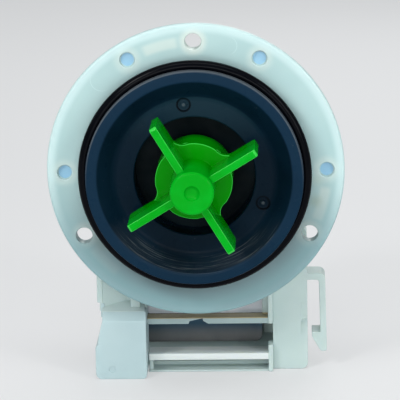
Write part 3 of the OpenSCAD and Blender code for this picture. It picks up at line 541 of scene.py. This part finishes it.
def streaksAndBlueShade(parts, colour, look):
    stack = joined(y=times(parts["Y"], look["streakRise"]))
    streaks = noiseOf(stack, scale=1.0, detail=4, rough=0.7)
    streaks = remap(streaks, look["streakSpan"], (0.0, look["streak"]))
    colour = tint(streaks, colour, look["streakDark"])
    # painted shade and reflection in a dark blue band on the core's front
    front = [coreLow.y + depth for depth in look["blueShadeDepth"]]
    blueShade = times(fade(parts["Z"], look["blueShadeFrom"], (0.0, look["blueShadeShare"])),
                  fade(parts["Z"], look["blueShadeTo"]), fade(parts["Y"], front))
    return tint(blueShade, colour, look["blueShade"])


def metalFinish(kind):
    look, grain = metals[kind], metalGrain
    material, tree, shader = startFinish(look["name"])
    shader.inputs["Metallic"].default_value = look["metal"]
    place = objectPlace(tree)
    colour = surface(shader, place, look, grain["flowDetail"], grain["glossScale"])
    if "sheet" in look:
        step = calc("DIVIDE", split(place)[look["along"]], look["sheet"] * mm)
        off = offFrom(calc("FRACT", step), metalSeam["middle"])
        seam = remap(off, metalSeam["span"])
        relief(shader, seam, metalSeam["bite"], metalSeam["depth"])
        colour = tint(times(seam, metalSeam["share"]), colour, metalSeam["dark"])
    else:
        relief(shader, noiseOf(place, grain["scale"]), grain["bite"], grain["depth"])
    if "blueShade" in look:
        colour = streaksAndBlueShade(split(place), colour, look)
    paint(shader, colour)
    return material


coreSteel = metalFinish("core")
shaftSteel = metalFinish("shaft")
bushBronze = metalFinish("bush")
magnetFerrite = metalFinish("magnet")
coilCopper = metalFinish("copper")
terminalTin = metalFinish("tin")
print("finishes made")


# mesh helpers: lengths in mm, angles in degrees
meshing = {
    "weld": 0.002, "spinWeld": 0.001, "flat": 0.5, "sharp": 28, "square": 60, "crease": 36,
    "near": 0.01, "cutWeld": 0.0001, "cornerSteps": 5, "holeSteps": 48, "past": 1.0, "clear": 0.05,
}


def weldedCopy(node):
    mesh = bmesh.new()
    mesh.from_mesh(nodes[node].data)
    bmesh.ops.remove_doubles(mesh, verts=mesh.verts[:], dist=meshing["weld"] * mm)
    bmesh.ops.dissolve_limit(mesh, angle_limit=math.radians(meshing["flat"]), verts=mesh.verts[:],
                             edges=mesh.edges[:], use_dissolve_boundaries=False)
    return mesh


def sharpEdges(mesh, degrees=meshing["sharp"]):
    limit = math.radians(degrees)
    return [edge for edge in mesh.edges
            if len(edge.link_faces) == 2 and edge.calc_face_angle() > limit]


def isAt(edge, axis, place):
    return all(abs(point.co[axis] - place * mm) < meshing["near"] * mm for point in edge.verts)


def sameDepth(edge):
    first, second = edge.verts
    return abs(first.co.y - second.co.y) < meshing["near"] * mm


def roundEdges(mesh, edges, width, segments=3):
    bmesh.ops.bevel(mesh, geom=edges, offset=width * mm, offset_type="OFFSET", segments=segments,
                    profile=0.5, affect="EDGES", material=-1, clamp_overlap=False)


def roundCorners(mesh, points, corners):
    for point, (_, _, rounding) in zip(points, corners):
        if rounding:
            bmesh.ops.bevel(mesh, geom=[point], offset=rounding * mm, offset_type="OFFSET",
                            segments=meshing["cornerSteps"], profile=0.5, affect="VERTICES",
                            material=-1)


def spinRound(mesh, steps):
    bmesh.ops.spin(mesh, geom=mesh.verts[:] + mesh.edges[:], cent=(0, 0, 0), axis=(0, 1, 0),
                   angle=2 * math.pi, steps=steps, use_merge=True)


def faceOut(mesh):
    bmesh.ops.recalc_face_normals(mesh, faces=mesh.faces[:])


# corners are radius, depth and rounding
def turnedShape(corners, steps):
    mesh = bmesh.new()
    points = [mesh.verts.new((radius * mm, depth * mm, 0)) for radius, depth, _ in corners]
    for point, following in zip(points, points[1:] + points[:1]):
        mesh.edges.new((point, following))
    roundCorners(mesh, points, corners)
    spinRound(mesh, steps)
    bmesh.ops.remove_doubles(mesh, verts=mesh.verts[:], dist=meshing["spinWeld"] * mm)
    faceOut(mesh)
    return mesh


# corners are across, height and rounding
def plateShape(corners, front, back):
    mesh = bmesh.new()
    points = [mesh.verts.new((across * mm, front * mm, up * mm)) for across, up, _ in corners]
    mesh.faces.new(points)
    roundCorners(mesh, points, corners)
    raised = bmesh.ops.extrude_face_region(mesh, geom=mesh.faces[:], use_keep_orig=True)
    moved = [item for item in raised["geom"] if isinstance(item, bmesh.types.BMVert)]
    bmesh.ops.translate(mesh, verts=moved, vec=(0, (back - front) * mm, 0))
    faceOut(mesh)
    return mesh


def swapAxes(mesh, first, second):
    for point in mesh.verts:
        point.co[first], point.co[second] = point.co[second], point.co[first]
    mesh.normal_update()
    faceOut(mesh)
    return mesh


# plate drawn in side view: its corners are depth and height, and it runs from left to right
def sidePlate(corners, left, right):
    return swapAxes(plateShape(corners, left, right), 0, 1)


# plate drawn from above: its corners are across and depth, and it runs from low to high
def planPlate(corners, low, high):
    return swapAxes(plateShape(corners, low, high), 1, 2)


def roundedBlock(low, high, width):
    mesh = bmesh.new()
    bmesh.ops.create_cube(mesh, size=1.0)
    size = Vector(high) - Vector(low)
    middle = (Vector(high) + Vector(low)) / 2
    bmesh.ops.scale(mesh, verts=mesh.verts[:], vec=size * mm)
    bmesh.ops.translate(mesh, verts=mesh.verts[:], vec=middle * mm)
    if width:
        roundEdges(mesh, mesh.edges[:], width)
    return mesh


# cutter with a flared mouth, so the hole that it leaves has a rounded edge
def holeCutter(radius, front, back, lip):
    start, mouth, wide = front - meshing["past"], front - meshing["clear"], radius + 2 * lip
    return turnedShape([(0, start, 0), (wide, start, 0), (wide, mouth, 0), (radius, mouth, lip),
                        (radius, back, 0), (0, back, 0)], meshing["holeSteps"])


def turnMesh(mesh, degrees):
    turn = Matrix.Rotation(math.radians(degrees), 3, "Y")
    bmesh.ops.rotate(mesh, verts=mesh.verts[:], cent=(0, 0, 0), matrix=turn)


def spot(mesh, angle, radius=0.0):
    turnMesh(mesh, -angle)
    bmesh.ops.translate(mesh, verts=mesh.verts[:], vec=polar(radius, angle) * mm)
    return mesh


def asObject(name, mesh):
    data = bpy.data.meshes.new(name)
    mesh.to_mesh(data)
    mesh.free()
    piece = bpy.data.objects.new(name, data)
    scene.collection.objects.link(piece)
    return piece


def combine(base, others, operation):
    for other in others:
        cutter = base.modifiers.new("combine", "BOOLEAN")
        cutter.operation = operation
        cutter.solver = "EXACT"
        cutter.object = other
    bpy.context.view_layer.update()
    solid = base.evaluated_get(bpy.context.evaluated_depsgraph_get())
    data = bpy.data.meshes.new_from_object(solid)
    base.modifiers.clear()
    old = base.data
    base.data = data
    bpy.data.meshes.remove(old)
    for other in others:
        leftover = other.data
        bpy.data.objects.remove(other)
        bpy.data.meshes.remove(leftover)


def dress(piece, material, slotName, body, *replaced):
    mesh = bmesh.new()
    mesh.from_mesh(piece.data)
    for face in mesh.faces:
        face.smooth = True
    for edge in sharpEdges(mesh, meshing["crease"]):
        edge.smooth = False
    mesh.to_mesh(piece.data)
    mesh.free()
    piece.data.materials.clear()
    piece.data.materials.append(material)
    piece.modifiers.new("evenNormals", "WEIGHTED_NORMAL").keep_sharp = True
    if body:
        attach(piece, body)
    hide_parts(*replaced)


# flange: turned plate and collar, with bosses behind and holes through
flangeShape = {
    "steps": 192, "bore": 36.15, "plate": 3.0, "edge": 0.9, "soft": 0.25, "collar": (37.55, 39.15),
    "bossRadius": 3.7, "bossBack": 4.6, "screwRadius": 2.65, "pocketRadius": 2.4,
    "pocketFloor": 1.2, "mouth": 0.4,
    "notch": {"wide": 6.3, "front": 4.85, "back": 7.15, "angles": (45, 135, 225, 315)},
}


def makeFlange(shape):
    bore, edge, soft = shape["bore"], shape["edge"], shape["soft"]
    inside, outside = shape["collar"]
    outer, back = flangeHigh.x, flangeHigh.y
    plate, past = shape["plate"], meshing["past"]
    base = asObject("mountingFlange", turnedShape([
        (bore, 0, soft), (outer, 0, edge), (outer, plate, edge), (outside, plate, 0),
        (outside, back, soft), (inside, back, soft), (inside, plate, 0), (bore, plate, soft)],
        shape["steps"]))
    bosses = []
    for angle in screwAngles + pocketAngles:
        radius, bossBack = shape["bossRadius"], shape["bossBack"]
        boss = turnedShape([(0, plate - past, 0), (radius, plate - past, 0),
                            (radius, bossBack, soft), (0, bossBack, 0)], meshing["holeSteps"])
        turnMesh(boss, 180 / meshing["holeSteps"])  # keeps its edges off the drill's corners
        bosses.append(asObject("boss", spot(boss, angle, holeCircle)))
    combine(base, bosses, "UNION")
    cutters = []
    for angles, radius, floor in (
            (screwAngles, shape["screwRadius"], shape["bossBack"] + past),
            (pocketAngles, shape["pocketRadius"], shape["pocketFloor"])):
        for angle in angles:
            drill = holeCutter(radius, 0, floor, shape["mouth"])
            cutters.append(asObject("drill", spot(drill, angle, holeCircle)))
    notch = shape["notch"]
    for angle in notch["angles"]:
        cut = roundedBlock((inside - past, notch["front"], -notch["wide"] / 2),
                           (outside + past, notch["back"], notch["wide"] / 2), 0)
        cutters.append(asObject("notch", spot(cut, angle)))
    combine(base, cutters, "DIFFERENCE")
    dress(base, flangeMilk, "flange_plastic", "motor", "mounting_flange")


makeFlange(flangeShape)
print("flange made")


# seal ring
sealShape = {"around": 192, "section": 28}


def makeSeal(shape):
    thick = (ringHigh.y - ringLow.y) / 2
    mesh = bmesh.new()
    bmesh.ops.create_circle(mesh, segments=shape["section"], radius=thick * mm)
    middle = Vector(((ringHigh.x - thick) * mm, (ringLow.y + ringHigh.y) / 2 * mm, 0))
    bmesh.ops.translate(mesh, verts=mesh.verts[:], vec=middle)
    spinRound(mesh, shape["around"])
    faceOut(mesh)
    dress(asObject("sealRing", mesh), sealRubber, "seal_rubber", "motor", "seal_ring")


makeSeal(sealShape)
print("seal ring made")


# cup: dish, well and rotor can turned as one, with the ejector marks in its floor
cupShape = {
    "steps": 192, "rimIn": 31.2, "spigot": 34.8, "groove": 33.9, "grooveFront": -8.45,
    "grooveBack": -4.55, "pilot": 36.0, "lip": 37.4, "lipFront": 3.0, "lipBack": 5.0,
    "floorRadius": 26.0, "floor": -7.5, "wall": 2.0, "well": 19.3, "shoulder": 6.0,
    "can": 13.2, "canWall": 1.5, "canStep": 56.2, "tail": 8.02, "bushBack": 62.2,
    "rimSoft": 0.5, "grooveSoft": 0.2, "stepSoft": 0.4, "canSoft": 1.0, "wellSoft": 0.5,
    "floorSoft": 1.5, "markDot": 0.85, "markDepth": 0.6, "markSoft": (0.2, 0.1), "markSteps": 32,
}


def makeCup(shape):
    rim, wall, floor = cupLow.y, shape["wall"], shape["floor"]
    rimIn, spigot, groove, pilot = (shape[key] for key in ("rimIn", "spigot", "groove", "pilot"))
    grooveFront, grooveBack = shape["grooveFront"], shape["grooveBack"]
    lip, lipFront, lipBack = shape["lip"], shape["lipFront"], shape["lipBack"]
    well, shoulder, slope = shape["well"], shape["shoulder"], shape["floorRadius"]
    can, canStep, tail, bushBack = (shape[key] for key in ("can", "canStep", "tail", "bushBack"))
    canOut, tailOut = can + shape["canWall"], tail + shape["canWall"]
    inner, step = groove - wall, canStep + shape["canWall"]
    rimSoft, grooveSoft = shape["rimSoft"], shape["grooveSoft"]
    stepSoft, canSoft = shape["stepSoft"], shape["canSoft"]
    base = asObject("chamberCup", turnedShape([
        (rimIn, rim, rimSoft), (spigot, rim, rimSoft), (spigot, grooveFront, grooveSoft),
        (groove, grooveFront, 0), (groove, grooveBack, 0), (pilot, grooveBack, grooveSoft),
        (pilot, lipFront, 0), (lip, lipFront, 0), (lip, lipBack, 0), (inner, lipBack, 0),
        (inner, rim + wall, 0), (rimIn, rim + wall, 0), (slope, floor + wall, 0),
        (well + wall, floor + wall, 0), (well + wall, shoulder + wall, stepSoft),
        (canOut, shoulder + wall, stepSoft), (canOut, step, canSoft), (tailOut, step, stepSoft),
        (tailOut, cupHigh.y, canSoft), (0, cupHigh.y, 0), (0, bushBack, 0), (tail, bushBack, 0),
        (tail, canStep, 0), (can, canStep, 0), (can, shoulder, 0), (well, shoulder, 0),
        (well, floor, shape["wellSoft"]), (slope, floor, shape["floorSoft"])], shape["steps"]))
    dot, radius = shape["markDot"], dishMarks["radius"]
    front, back = floor - meshing["past"], floor + shape["markDepth"]
    outerSoft, innerSoft = shape["markSoft"]
    cutters = []
    for angle in dishMarks["angles"]:
        ring = turnedShape([(dot, front, 0), (radius, front, 0), (radius, back, outerSoft),
                            (dot, back, innerSoft)], shape["markSteps"])
        cutters.append(asObject("mark", spot(ring, angle, dishMarks["circle"])))
    combine(base, cutters, "DIFFERENCE")
    dress(base, dishSlate, "dish_plastic", "motor", "chamber_cup")


makeCup(cupShape)
print("cup made")


# impeller: turned hub and skirt, and a front plate that flares into four blades;
# every piece is eased before it is joined
wheelShape = {
    "steps": 128, "hub": 6.9, "hubRoot": 7.3, "hubSoft": 0.8, "skirt": 12.3, "skirtFront": -14.5,
    "skirtBack": -1.0, "skirtSoft": 0.3, "plateBack": -12.3, "tuck": 0.05, "sink": 0.2,
    "chamber": 10.8, "chamberFront": -12.7, "boreRadius": 2.2, "boreFront": -25.5,
    "dimple": 2.4, "dimpleDepth": 0.9, "dimpleFloor": 0.88, "dimpleSoft": (0.8, 0.2),
    "bladeAngles": (31, 121, 211, 301), "bladeFront": -28.2, "bladeBack": -12.2,
    "bladeThick": 2.4, "bladeRoot": 4.0, "tip": 23.4, "tipChamfer": 0.7, "flare": 3.0,
    "flareTurn": 25, "flareReach": 17.5, "flareInset": 0.15, "soft": 0.34, "bladeSoft": 0.28,
    "arcSteps": 12,
}


def flaredOutline(shape):
    half = shape["bladeThick"] / 2 - shape["sink"] / 2
    radius, turn = shape["skirt"], shape["flareTurn"]
    root, reach, flare = radius - shape["flareInset"], shape["flareReach"], shape["flare"]
    gap = 360 / len(shape["bladeAngles"]) - 2 * turn
    corners = []
    for angle in shape["bladeAngles"]:
        away = math.radians(angle)
        for along, side, rounding in ((root, -half, flare), (reach, -half, 0), (reach, half, 0),
                                      (root, half, flare)):
            corners.append((along * math.cos(away) - side * math.sin(away),
                            along * math.sin(away) + side * math.cos(away), rounding))
        for step in range(shape["arcSteps"] + 1):
            place = polar(radius, angle + turn + gap * step / shape["arcSteps"])
            corners.append((place.x, place.z, 0))
    return corners


def makeBlade(shape):
    root, tip, half = shape["bladeRoot"], shape["tip"], shape["bladeThick"] / 2
    blade = plateShape([(root, -half, 0), (tip, -half, 0), (tip, half, 0), (root, half, 0)],
                       shape["bladeFront"], shape["bladeBack"])
    ends = [edge for edge in blade.edges if isAt(edge, 0, tip) and sameDepth(edge)]
    roundEdges(blade, ends, shape["tipChamfer"], segments=1)
    roundEdges(blade, sharpEdges(blade), shape["bladeSoft"])
    return blade


def makeWheel(shape):
    front, face, back = wheelLow.y, shape["skirtFront"], shape["skirtBack"]
    sink, inner, outer = shape["sink"], shape["chamber"], shape["skirt"] - shape["tuck"]
    dimple, dimpleBack = shape["dimple"], front + shape["dimpleDepth"]
    floorSoft, mouthSoft = shape["dimpleSoft"]
    base = asObject("impellerWheel", turnedShape([
        (0, dimpleBack, 0), (dimple * shape["dimpleFloor"], dimpleBack, floorSoft),
        (dimple, front, mouthSoft), (shape["hub"], front, shape["hubSoft"]),
        (shape["hubRoot"], face + sink, 0), (inner, face + sink, 0),
        (outer, shape["plateBack"] - sink, 0), (outer, back, shape["skirtSoft"]),
        (0, back, 0)], shape["steps"]))
    plate = plateShape(flaredOutline(shape), face, shape["plateBack"])
    roundEdges(plate, [edge for edge in sharpEdges(plate, meshing["square"])
                       if isAt(edge, 1, face)], shape["soft"])
    others = [asObject("plate", plate)]
    for angle in shape["bladeAngles"]:
        others.append(asObject("blade", spot(makeBlade(shape), angle)))
    combine(base, others, "UNION")
    bore, boreFront, chamberFront = shape["boreRadius"], shape["boreFront"], shape["chamberFront"]
    end = back + meshing["past"]
    hollow = turnedShape([(0, boreFront, 0), (bore, boreFront, 0), (bore, chamberFront, 0),
                          (inner, chamberFront, 0), (inner, end, 0), (0, end, 0)], shape["steps"])
    combine(base, [asObject("bore", hollow)], "DIFFERENCE")
    dress(base, greenMoulding, "impeller_plastic", "impeller", "impeller")


makeWheel(wheelShape)
print("impeller made")


# cradle: clamp ring, columns, crossbar and shelf, moulded in one
cradleShape = {
    "soft": 0.3, "ring": (22.0, 37.4, 5.0, 10.0), "ringSteps": 160,
    "tabAngles": (45, 135, 225, 315), "tab": (36.4, 39.0, 5.0, 7.0, 6.0),
    "blocks": {
        "leftPlate": ((-31.3, 12.0, -49.4), (-17.6, 13.9, -18.2)),
        "outerEdge": ((-33.8, 9.0, -46.4), (-31.9, 13.7, -18.0)),
        "innerRib": ((-22.8, 9.0, -49.3), (-19.6, 14.0, -18.0)),
        "bracket": ((24.0, 9.0, -30.0), (31.0, 17.0, -22.0)),
        "endPost": ((22.5, 11.5, -71.5), (24.05, 17.0, -62.2)),
        "endWall": ((22.5, 11.5, -54.9), (24.0, 17.0, -36.0)),
        "jamb": ((20.6, 15.8, -53.0), (22.7, 23.3, -36.2)),
        "shelfLip": ((-17.4, 11.6, -67.3), (23.3, 14.5, -65.0)),
        "shelfDeck": ((-17.45, 12.6, -67.25), (23.85, 30.0, -66.4)),
        "shelfBody": ((-17.4, 18.5, -71.4), (23.8, 56.0, -66.45)),
        "shelfFoot": ((-17.45, 12.0, -71.5), (23.7, 30.0, -70.8)),
        "shelfEnd": ((-17.35, 13.0, -71.3), (-15.95, 20.0, -66.6)),
        "shelfWing": ((-22.45, 20.3, -71.5), (-16.6, 55.9, -66.5)),
        "leftCheek": ((-22.35, 40.0, -68.4), (-20.45, 55.8, -55.4)),
        "rightCheek": ((20.45, 40.0, -68.4), (22.45, 55.8, -55.4)),
        "rearCheek": ((-22.2, 52.15, -68.3), (22.3, 55.7, -60.9)),
        "sideWall": ((23.95, 21.5, -71.3), (25.5, 42.0, -54.9)),
        "sideEnd": ((21.5, 40.1, -68.2), (25.2, 41.9, -55.1)),
    },
    "fillers": {
        "postRoot": ((23.0, 14.52, -71.3), (26.0, 17.0, -62.4)),
        "wallRoot": ((23.0, 14.52, -54.7), (26.0, 17.0, -36.2)),
        "bridgeRoot": ((34.5, 14.52, -40.75), (35.75, 22.4, -38.45)),
    },
    "outerRib": ((-33.0, 9.05, 0), (-32.4, 9.05, 0.5), (-24.0, 12.4, 0), (-24.0, 13.6, 0),
                 (-32.3, 13.6, 0), (-32.3, 9.6, 0)),
    "outerRibSpan": (-49.15, -18.1),
    "sill": ((12.3, -46.4, 0), (7.1, -48.85, 0), (7.1, -49.2, 0), (12.3, -49.2, 0)),
    "sillSpan": (-32.2, -18.2),
    "column": ((24.0, -71.5, 0), (35.6, -71.5, 2.0), (35.6, -22.0, 3.0), (24.0, -22.0, 0)),
    "columnDepth": (14.5, 22.5),
    "hollow": ((26.0, 17.0, -69.5), (32.0, 23.5, -24.0)), "hollowSoft": 0.5,
    "strike": ((13.5, -54.9, 0), (16.7, -54.9, 0), (13.5, -63.77, 0)),
    "strikeSpan": (33.3, 36.6), "strikeLean": 0.5,
    "leadIn": ((33.6, 14.0, -54.2), (36.5, 14.95, -48.2)), "leadInSoft": 0.25,
    "crossbar": ((-18.85, 12.0, -54.9), (23.7, 18.0, -52.7)),
    "break": ((-4.1, -55.5, 0), (-3.6, -53.9, 0), (0.8, -52.9, 0), (1.0, -53.8, 0),
              (3.8, -55.5, 0)),
    "breakDepth": (11, 19),
    "slot": ((-15.9, 17.5, -69.6), (22.4, 25.0, -68.3)),
}


# column with its hollow, and the catch pocket with its slanted top and lead-in
def makeColumn(shape):
    mesh = plateShape(shape["column"], *shape["columnDepth"])
    roundEdges(mesh, [edge for edge in sharpEdges(mesh, meshing["square"]) if sameDepth(edge)],
               shape["soft"])
    column = asObject("column", mesh)
    strike = sidePlate(shape["strike"], *shape["strikeSpan"])
    top, left = shape["strike"][0][1], shape["strikeSpan"][0]
    for point in strike.verts:
        if point.co.z > (top - meshing["near"]) * mm:
            point.co.z += (point.co.x - left * mm) * shape["strikeLean"]
    hollow = asObject("hollow", roundedBlock(*shape["hollow"], shape["hollowSoft"]))
    leadIn = asObject("leadIn", roundedBlock(*shape["leadIn"], shape["leadInSoft"]))
    combine(column, [hollow, asObject("strike", strike), leadIn], "DIFFERENCE")
    return column


def makeCradle(shape):
    soft = shape["soft"]
    inside, outside, front, back = shape["ring"]
    base = asObject("motorCradle", turnedShape([
        (inside, front, soft), (outside, front, soft), (outside, back, soft),
        (inside, back, soft)], shape["ringSteps"]))
    parts = []
    near, far, tabFront, tabBack, wide = shape["tab"]
    for angle in shape["tabAngles"]:
        tab = roundedBlock((near, tabFront, -wide / 2), (far, tabBack, wide / 2), soft)
        parts.append(asObject("tab", spot(tab, angle)))
    for blocks, width in ((shape["blocks"], soft), (shape["fillers"], 0)):
        for name, (low, high) in blocks.items():
            parts.append(asObject(name, roundedBlock(low, high, width)))
    parts.append(asObject("outerRib", planPlate(shape["outerRib"], *shape["outerRibSpan"])))
    parts.append(asObject("sill", sidePlate(shape["sill"], *shape["sillSpan"])))
    parts.append(makeColumn(shape))
    crossbar = asObject("crossbar", roundedBlock(*shape["crossbar"], soft))
    snap = asObject("snap", plateShape(shape["break"], *shape["breakDepth"]))
    combine(crossbar, [snap], "DIFFERENCE")
    parts.append(crossbar)
    combine(base, parts, "UNION")
    combine(base, [asObject("slot", roundedBlock(*shape["slot"], 0))], "DIFFERENCE")
    dress(base, creamMoulding, "frame_plastic", "motor", "motor_frame")


makeCradle(cradleShape)
print("cradle made")


# housing, core, bobbins and tapes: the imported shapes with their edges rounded,
# a dimple in the housing and a cover over the bobbins' lower edges
bobbinLook = {"soft": 0.2, "finish": bobbinMoulding, "slot": "bobbin_plastic"}
tapeLook = {"soft": 0.15, "finish": tapeFilm, "slot": "coil_tape"}
softenedShapes = {
    "terminalHousing": {"node": "terminal_housing", "soft": 0.3, "finish": housingMoulding,
                        "slot": "housing_plastic",
                        "dimple": {"place": (-29.0, -68.0), "radius": 1.15, "depth": 0.3,
                                   "mouth": 0.12}},
    "statorCore": {"node": "stator_core", "soft": 0.15, "finish": coreSteel,
                   "slot": "core_steel"},
    "bobbinLeft": {"node": "bobbin_left", **bobbinLook},
    "bobbinRight": {"node": "bobbin_right", **bobbinLook, "coverSoft": 0.6,
                    "cover": ((-17.8, 22.7, -54.4), (20.9, 24.4, -34.0))},
    "coilTapeLeft": {"node": "coil_tape_left", **tapeLook},
    "coilTapeRight": {"node": "coil_tape_right", **tapeLook},
}


def makeSoftened(name, shape):
    mesh = weldedCopy(shape["node"])
    roundEdges(mesh, sharpEdges(mesh), shape["soft"], segments=2)
    piece = asObject(name, mesh)
    if "cover" in shape:
        cover = roundedBlock(*shape["cover"], shape["coverSoft"])
        combine(piece, [asObject("cover", cover)], "UNION")
    if "dimple" in shape:
        dimple, front = shape["dimple"], houseLow.y
        across, up = dimple["place"]
        cutter = holeCutter(dimple["radius"], front, front + dimple["depth"], dimple["mouth"])
        bmesh.ops.translate(cutter, verts=cutter.verts[:], vec=(across * mm, 0, up * mm))
        combine(piece, [asObject("dimple", cutter)], "DIFFERENCE")
    dress(piece, shape["finish"], shape["slot"], "motor", shape["node"])


for name, shape in softenedShapes.items():
    makeSoftened(name, shape)
print("housing, core and coils made")


# clip: bridge and hooked arm in one strip, with loops cut across the arm's root
clipShape = {
    "outline": ((35.35, -38.4, 0), (41.55, -38.4, 2.2), (41.95, -65.4, 0.7), (39.85, -65.4, 0.7),
                (37.0, -60.3, 0.3), (37.0, -58.8, 0.3), (39.85, -58.8, 0.3), (39.45, -40.8, 0.8),
                (35.35, -40.8, 0)),
    "root": 35.35, "soft": 0.25, "bendTop": -41.5, "bendFoot": -44.5, "loops": 8,
}


def makeClip(shape):
    mesh = plateShape(shape["outline"], armLow.y, armHigh.y)
    roundEdges(mesh, [edge for edge in sharpEdges(mesh, meshing["square"])
                      if sameDepth(edge) and not isAt(edge, 0, shape["root"])], shape["soft"])
    top, foot = shape["bendTop"], shape["bendFoot"]
    for step in range(shape["loops"] + 1):
        level = top + (foot - top) * step / shape["loops"]
        bmesh.ops.bisect_plane(mesh, geom=mesh.verts[:] + mesh.edges[:] + mesh.faces[:],
                               dist=meshing["cutWeld"] * mm, plane_co=(0, 0, level * mm),
                               plane_no=(0, 0, 1))
    piece = asObject("cableClip", mesh)
    dress(piece, creamMoulding, "frame_plastic", None, "latch_arm")
    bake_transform(piece)


makeClip(clipShape)
print("clip made")


# the rest stays as packed, with its finishes
carriedOver = {
    "coil_leads": leadCover, "bearing_carrier": carrierMoulding, "shaft_seal": sealRubber,
    "front_bearing": bushBronze, "front_thrust_washer": naturalMoulding,
    "rotor_shaft": shaftSteel, "rotor_sleeve": carrierMoulding, "rotor_magnet": magnetFerrite,
    "rear_thrust_washer": naturalMoulding, "rear_bearing": bushBronze,
    "rear_bearing_cushion": sealRubber, "drive_dog": naturalMoulding, "dog_buffers": sealRubber,
    "coupling_cover": greenMoulding, "winding_left": coilCopper, "winding_right": coilCopper,
    "thermal_cutout": carrierMoulding, "spade_terminals": terminalTin,
}
for node, material in carriedOver.items():
    nodes[node].data.materials.clear()
    nodes[node].data.materials.append(material)
print("carried over:", len(carriedOver))


# camera at the photograph's angle, for a picture of 400 by 400
cameraView = {"azimuth": 2.339, "elevation": 13.70, "roll": 1.175, "distance": 800.0,
              "focalPixels": 2474.0, "pixels": 400, "sensor": 36.0, "target": (1.19, 1.5, -9.98),
              "clip": (0.01, 20)}


def makeCamera(view):
    data = bpy.data.cameras.new("photoCamera")
    camera = bpy.data.objects.new("photoCamera", data)
    scene.collection.objects.link(camera)
    side, lift, roll = (math.radians(view[key]) for key in ("azimuth", "elevation", "roll"))
    back = Vector((math.sin(side) * math.cos(lift), -math.cos(side) * math.cos(lift),
                   math.sin(lift)))
    level = Vector((math.cos(side), math.sin(side), 0))
    upward = back.cross(level)
    right = level * math.cos(roll) - upward * math.sin(roll)
    top = level * math.sin(roll) + upward * math.cos(roll)
    place = (Vector(view["target"]) + back * view["distance"]) * mm
    turn = Matrix((right, top, back)).transposed().to_4x4()
    camera.matrix_world = Matrix.Translation(place) @ turn
    data.sensor_width = view["sensor"]
    data.lens = view["focalPixels"] * view["sensor"] / view["pixels"]
    data.clip_start, data.clip_end = view["clip"]
    scene.camera = camera


makeCamera(cameraView)


# floor and light
studio = {
    "floor": (0.74, 0.75, 0.76), "floorSize": 6.0, "floorGrid": 8, "floorRough": 0.6,
    "mottle": 0.98, "mottleScale": 3, "mottleSpan": (0.3, 0.7),
    "sky": (0.95, 0.98, 1.0), "skyStrength": 0.40,
    "glow": (0.86, 0.87, 0.88), "glowShare": 0.5, "aim": (0, 0, -10),
    "lamps": {
        "leftKey": {"place": (-306, -415, 365), "size": (130, 130), "watts": 1.45,
                    "tone": (1.0, 0.99, 0.98)},
        "rightKey": {"place": (400, -400, 200), "size": (100, 330), "watts": 1.05,
                     "tone": (1.0, 0.99, 0.98)},
        "front": {"place": (-40, -800, 20), "size": (420, 170), "watts": 1.4,
                  "tone": (0.98, 0.99, 1.0)},
        "top": {"place": (0, -260, 620), "size": (520, 150), "watts": 1.25,
                "tone": (1.0, 1.0, 1.0)},
        "rear": {"place": (150, 620, 360), "size": (420, 420), "watts": 1.2,
                 "tone": (1.0, 1.0, 1.0)},
    },
}


# pale floor that also glows for the camera and in reflections, and still takes the shadow
def floorFinish(look):
    material, tree, shader = startFinish("paleFloor")
    noise = noiseOf(objectPlace(tree), look["mottleScale"])
    tone = look["floor"]
    dull = tuple(look["mottle"] * part for part in tone)
    paint(shader, tint(remap(noise, look["mottleSpan"]), tone, dull))
    shader.inputs["Roughness"].default_value = look["floorRough"]
    path = put(tree, "LightPath").outputs
    seen = strongest(path["Is Camera Ray"], path["Is Glossy Ray"], path["Is Transmission Ray"])
    glow = put(tree, "Emission")
    glow.inputs["Color"].default_value = (*look["glow"], 1)
    blend = put(tree, "MixShader")
    link(times(seen, look["glowShare"]), blend.inputs[0])
    link(shader.outputs[0], blend.inputs[1])
    link(glow.outputs[0], blend.inputs[2])
    link(blend.outputs[0], tree.nodes["Material Output"].inputs["Surface"])
    return material


def makeStudio(look):
    mesh = bmesh.new()
    grid = look["floorGrid"]
    bmesh.ops.create_grid(mesh, x_segments=grid, y_segments=grid, size=look["floorSize"] / 2)
    bmesh.ops.translate(mesh, verts=mesh.verts[:], vec=(0, 0, frameLow.z * mm))
    floor = asObject("studioFloor", mesh)
    floor.data.materials.append(floorFinish(look))
    world = bpy.data.worlds.new("studioSky")
    world.use_nodes = True
    scene.world = world
    sky = world.node_tree.nodes["Background"]
    sky.inputs["Color"].default_value = (*look["sky"], 1)
    sky.inputs["Strength"].default_value = look["skyStrength"]
    for name, lamp in look["lamps"].items():
        data = bpy.data.lights.new(name + "Lamp", "AREA")
        data.shape = "RECTANGLE"
        data.size, data.size_y = (length * mm for length in lamp["size"])
        data.energy = lamp["watts"]
        data.color = lamp["tone"]
        light = bpy.data.objects.new(name + "Lamp", data)
        light.location = Vector(lamp["place"]) * mm
        aim = Vector(look["aim"]) * mm - light.location
        light.rotation_euler = aim.to_track_quat("-Z", "Y").to_euler()
        scene.collection.objects.link(light)


makeStudio(studio)
print("camera and studio set")
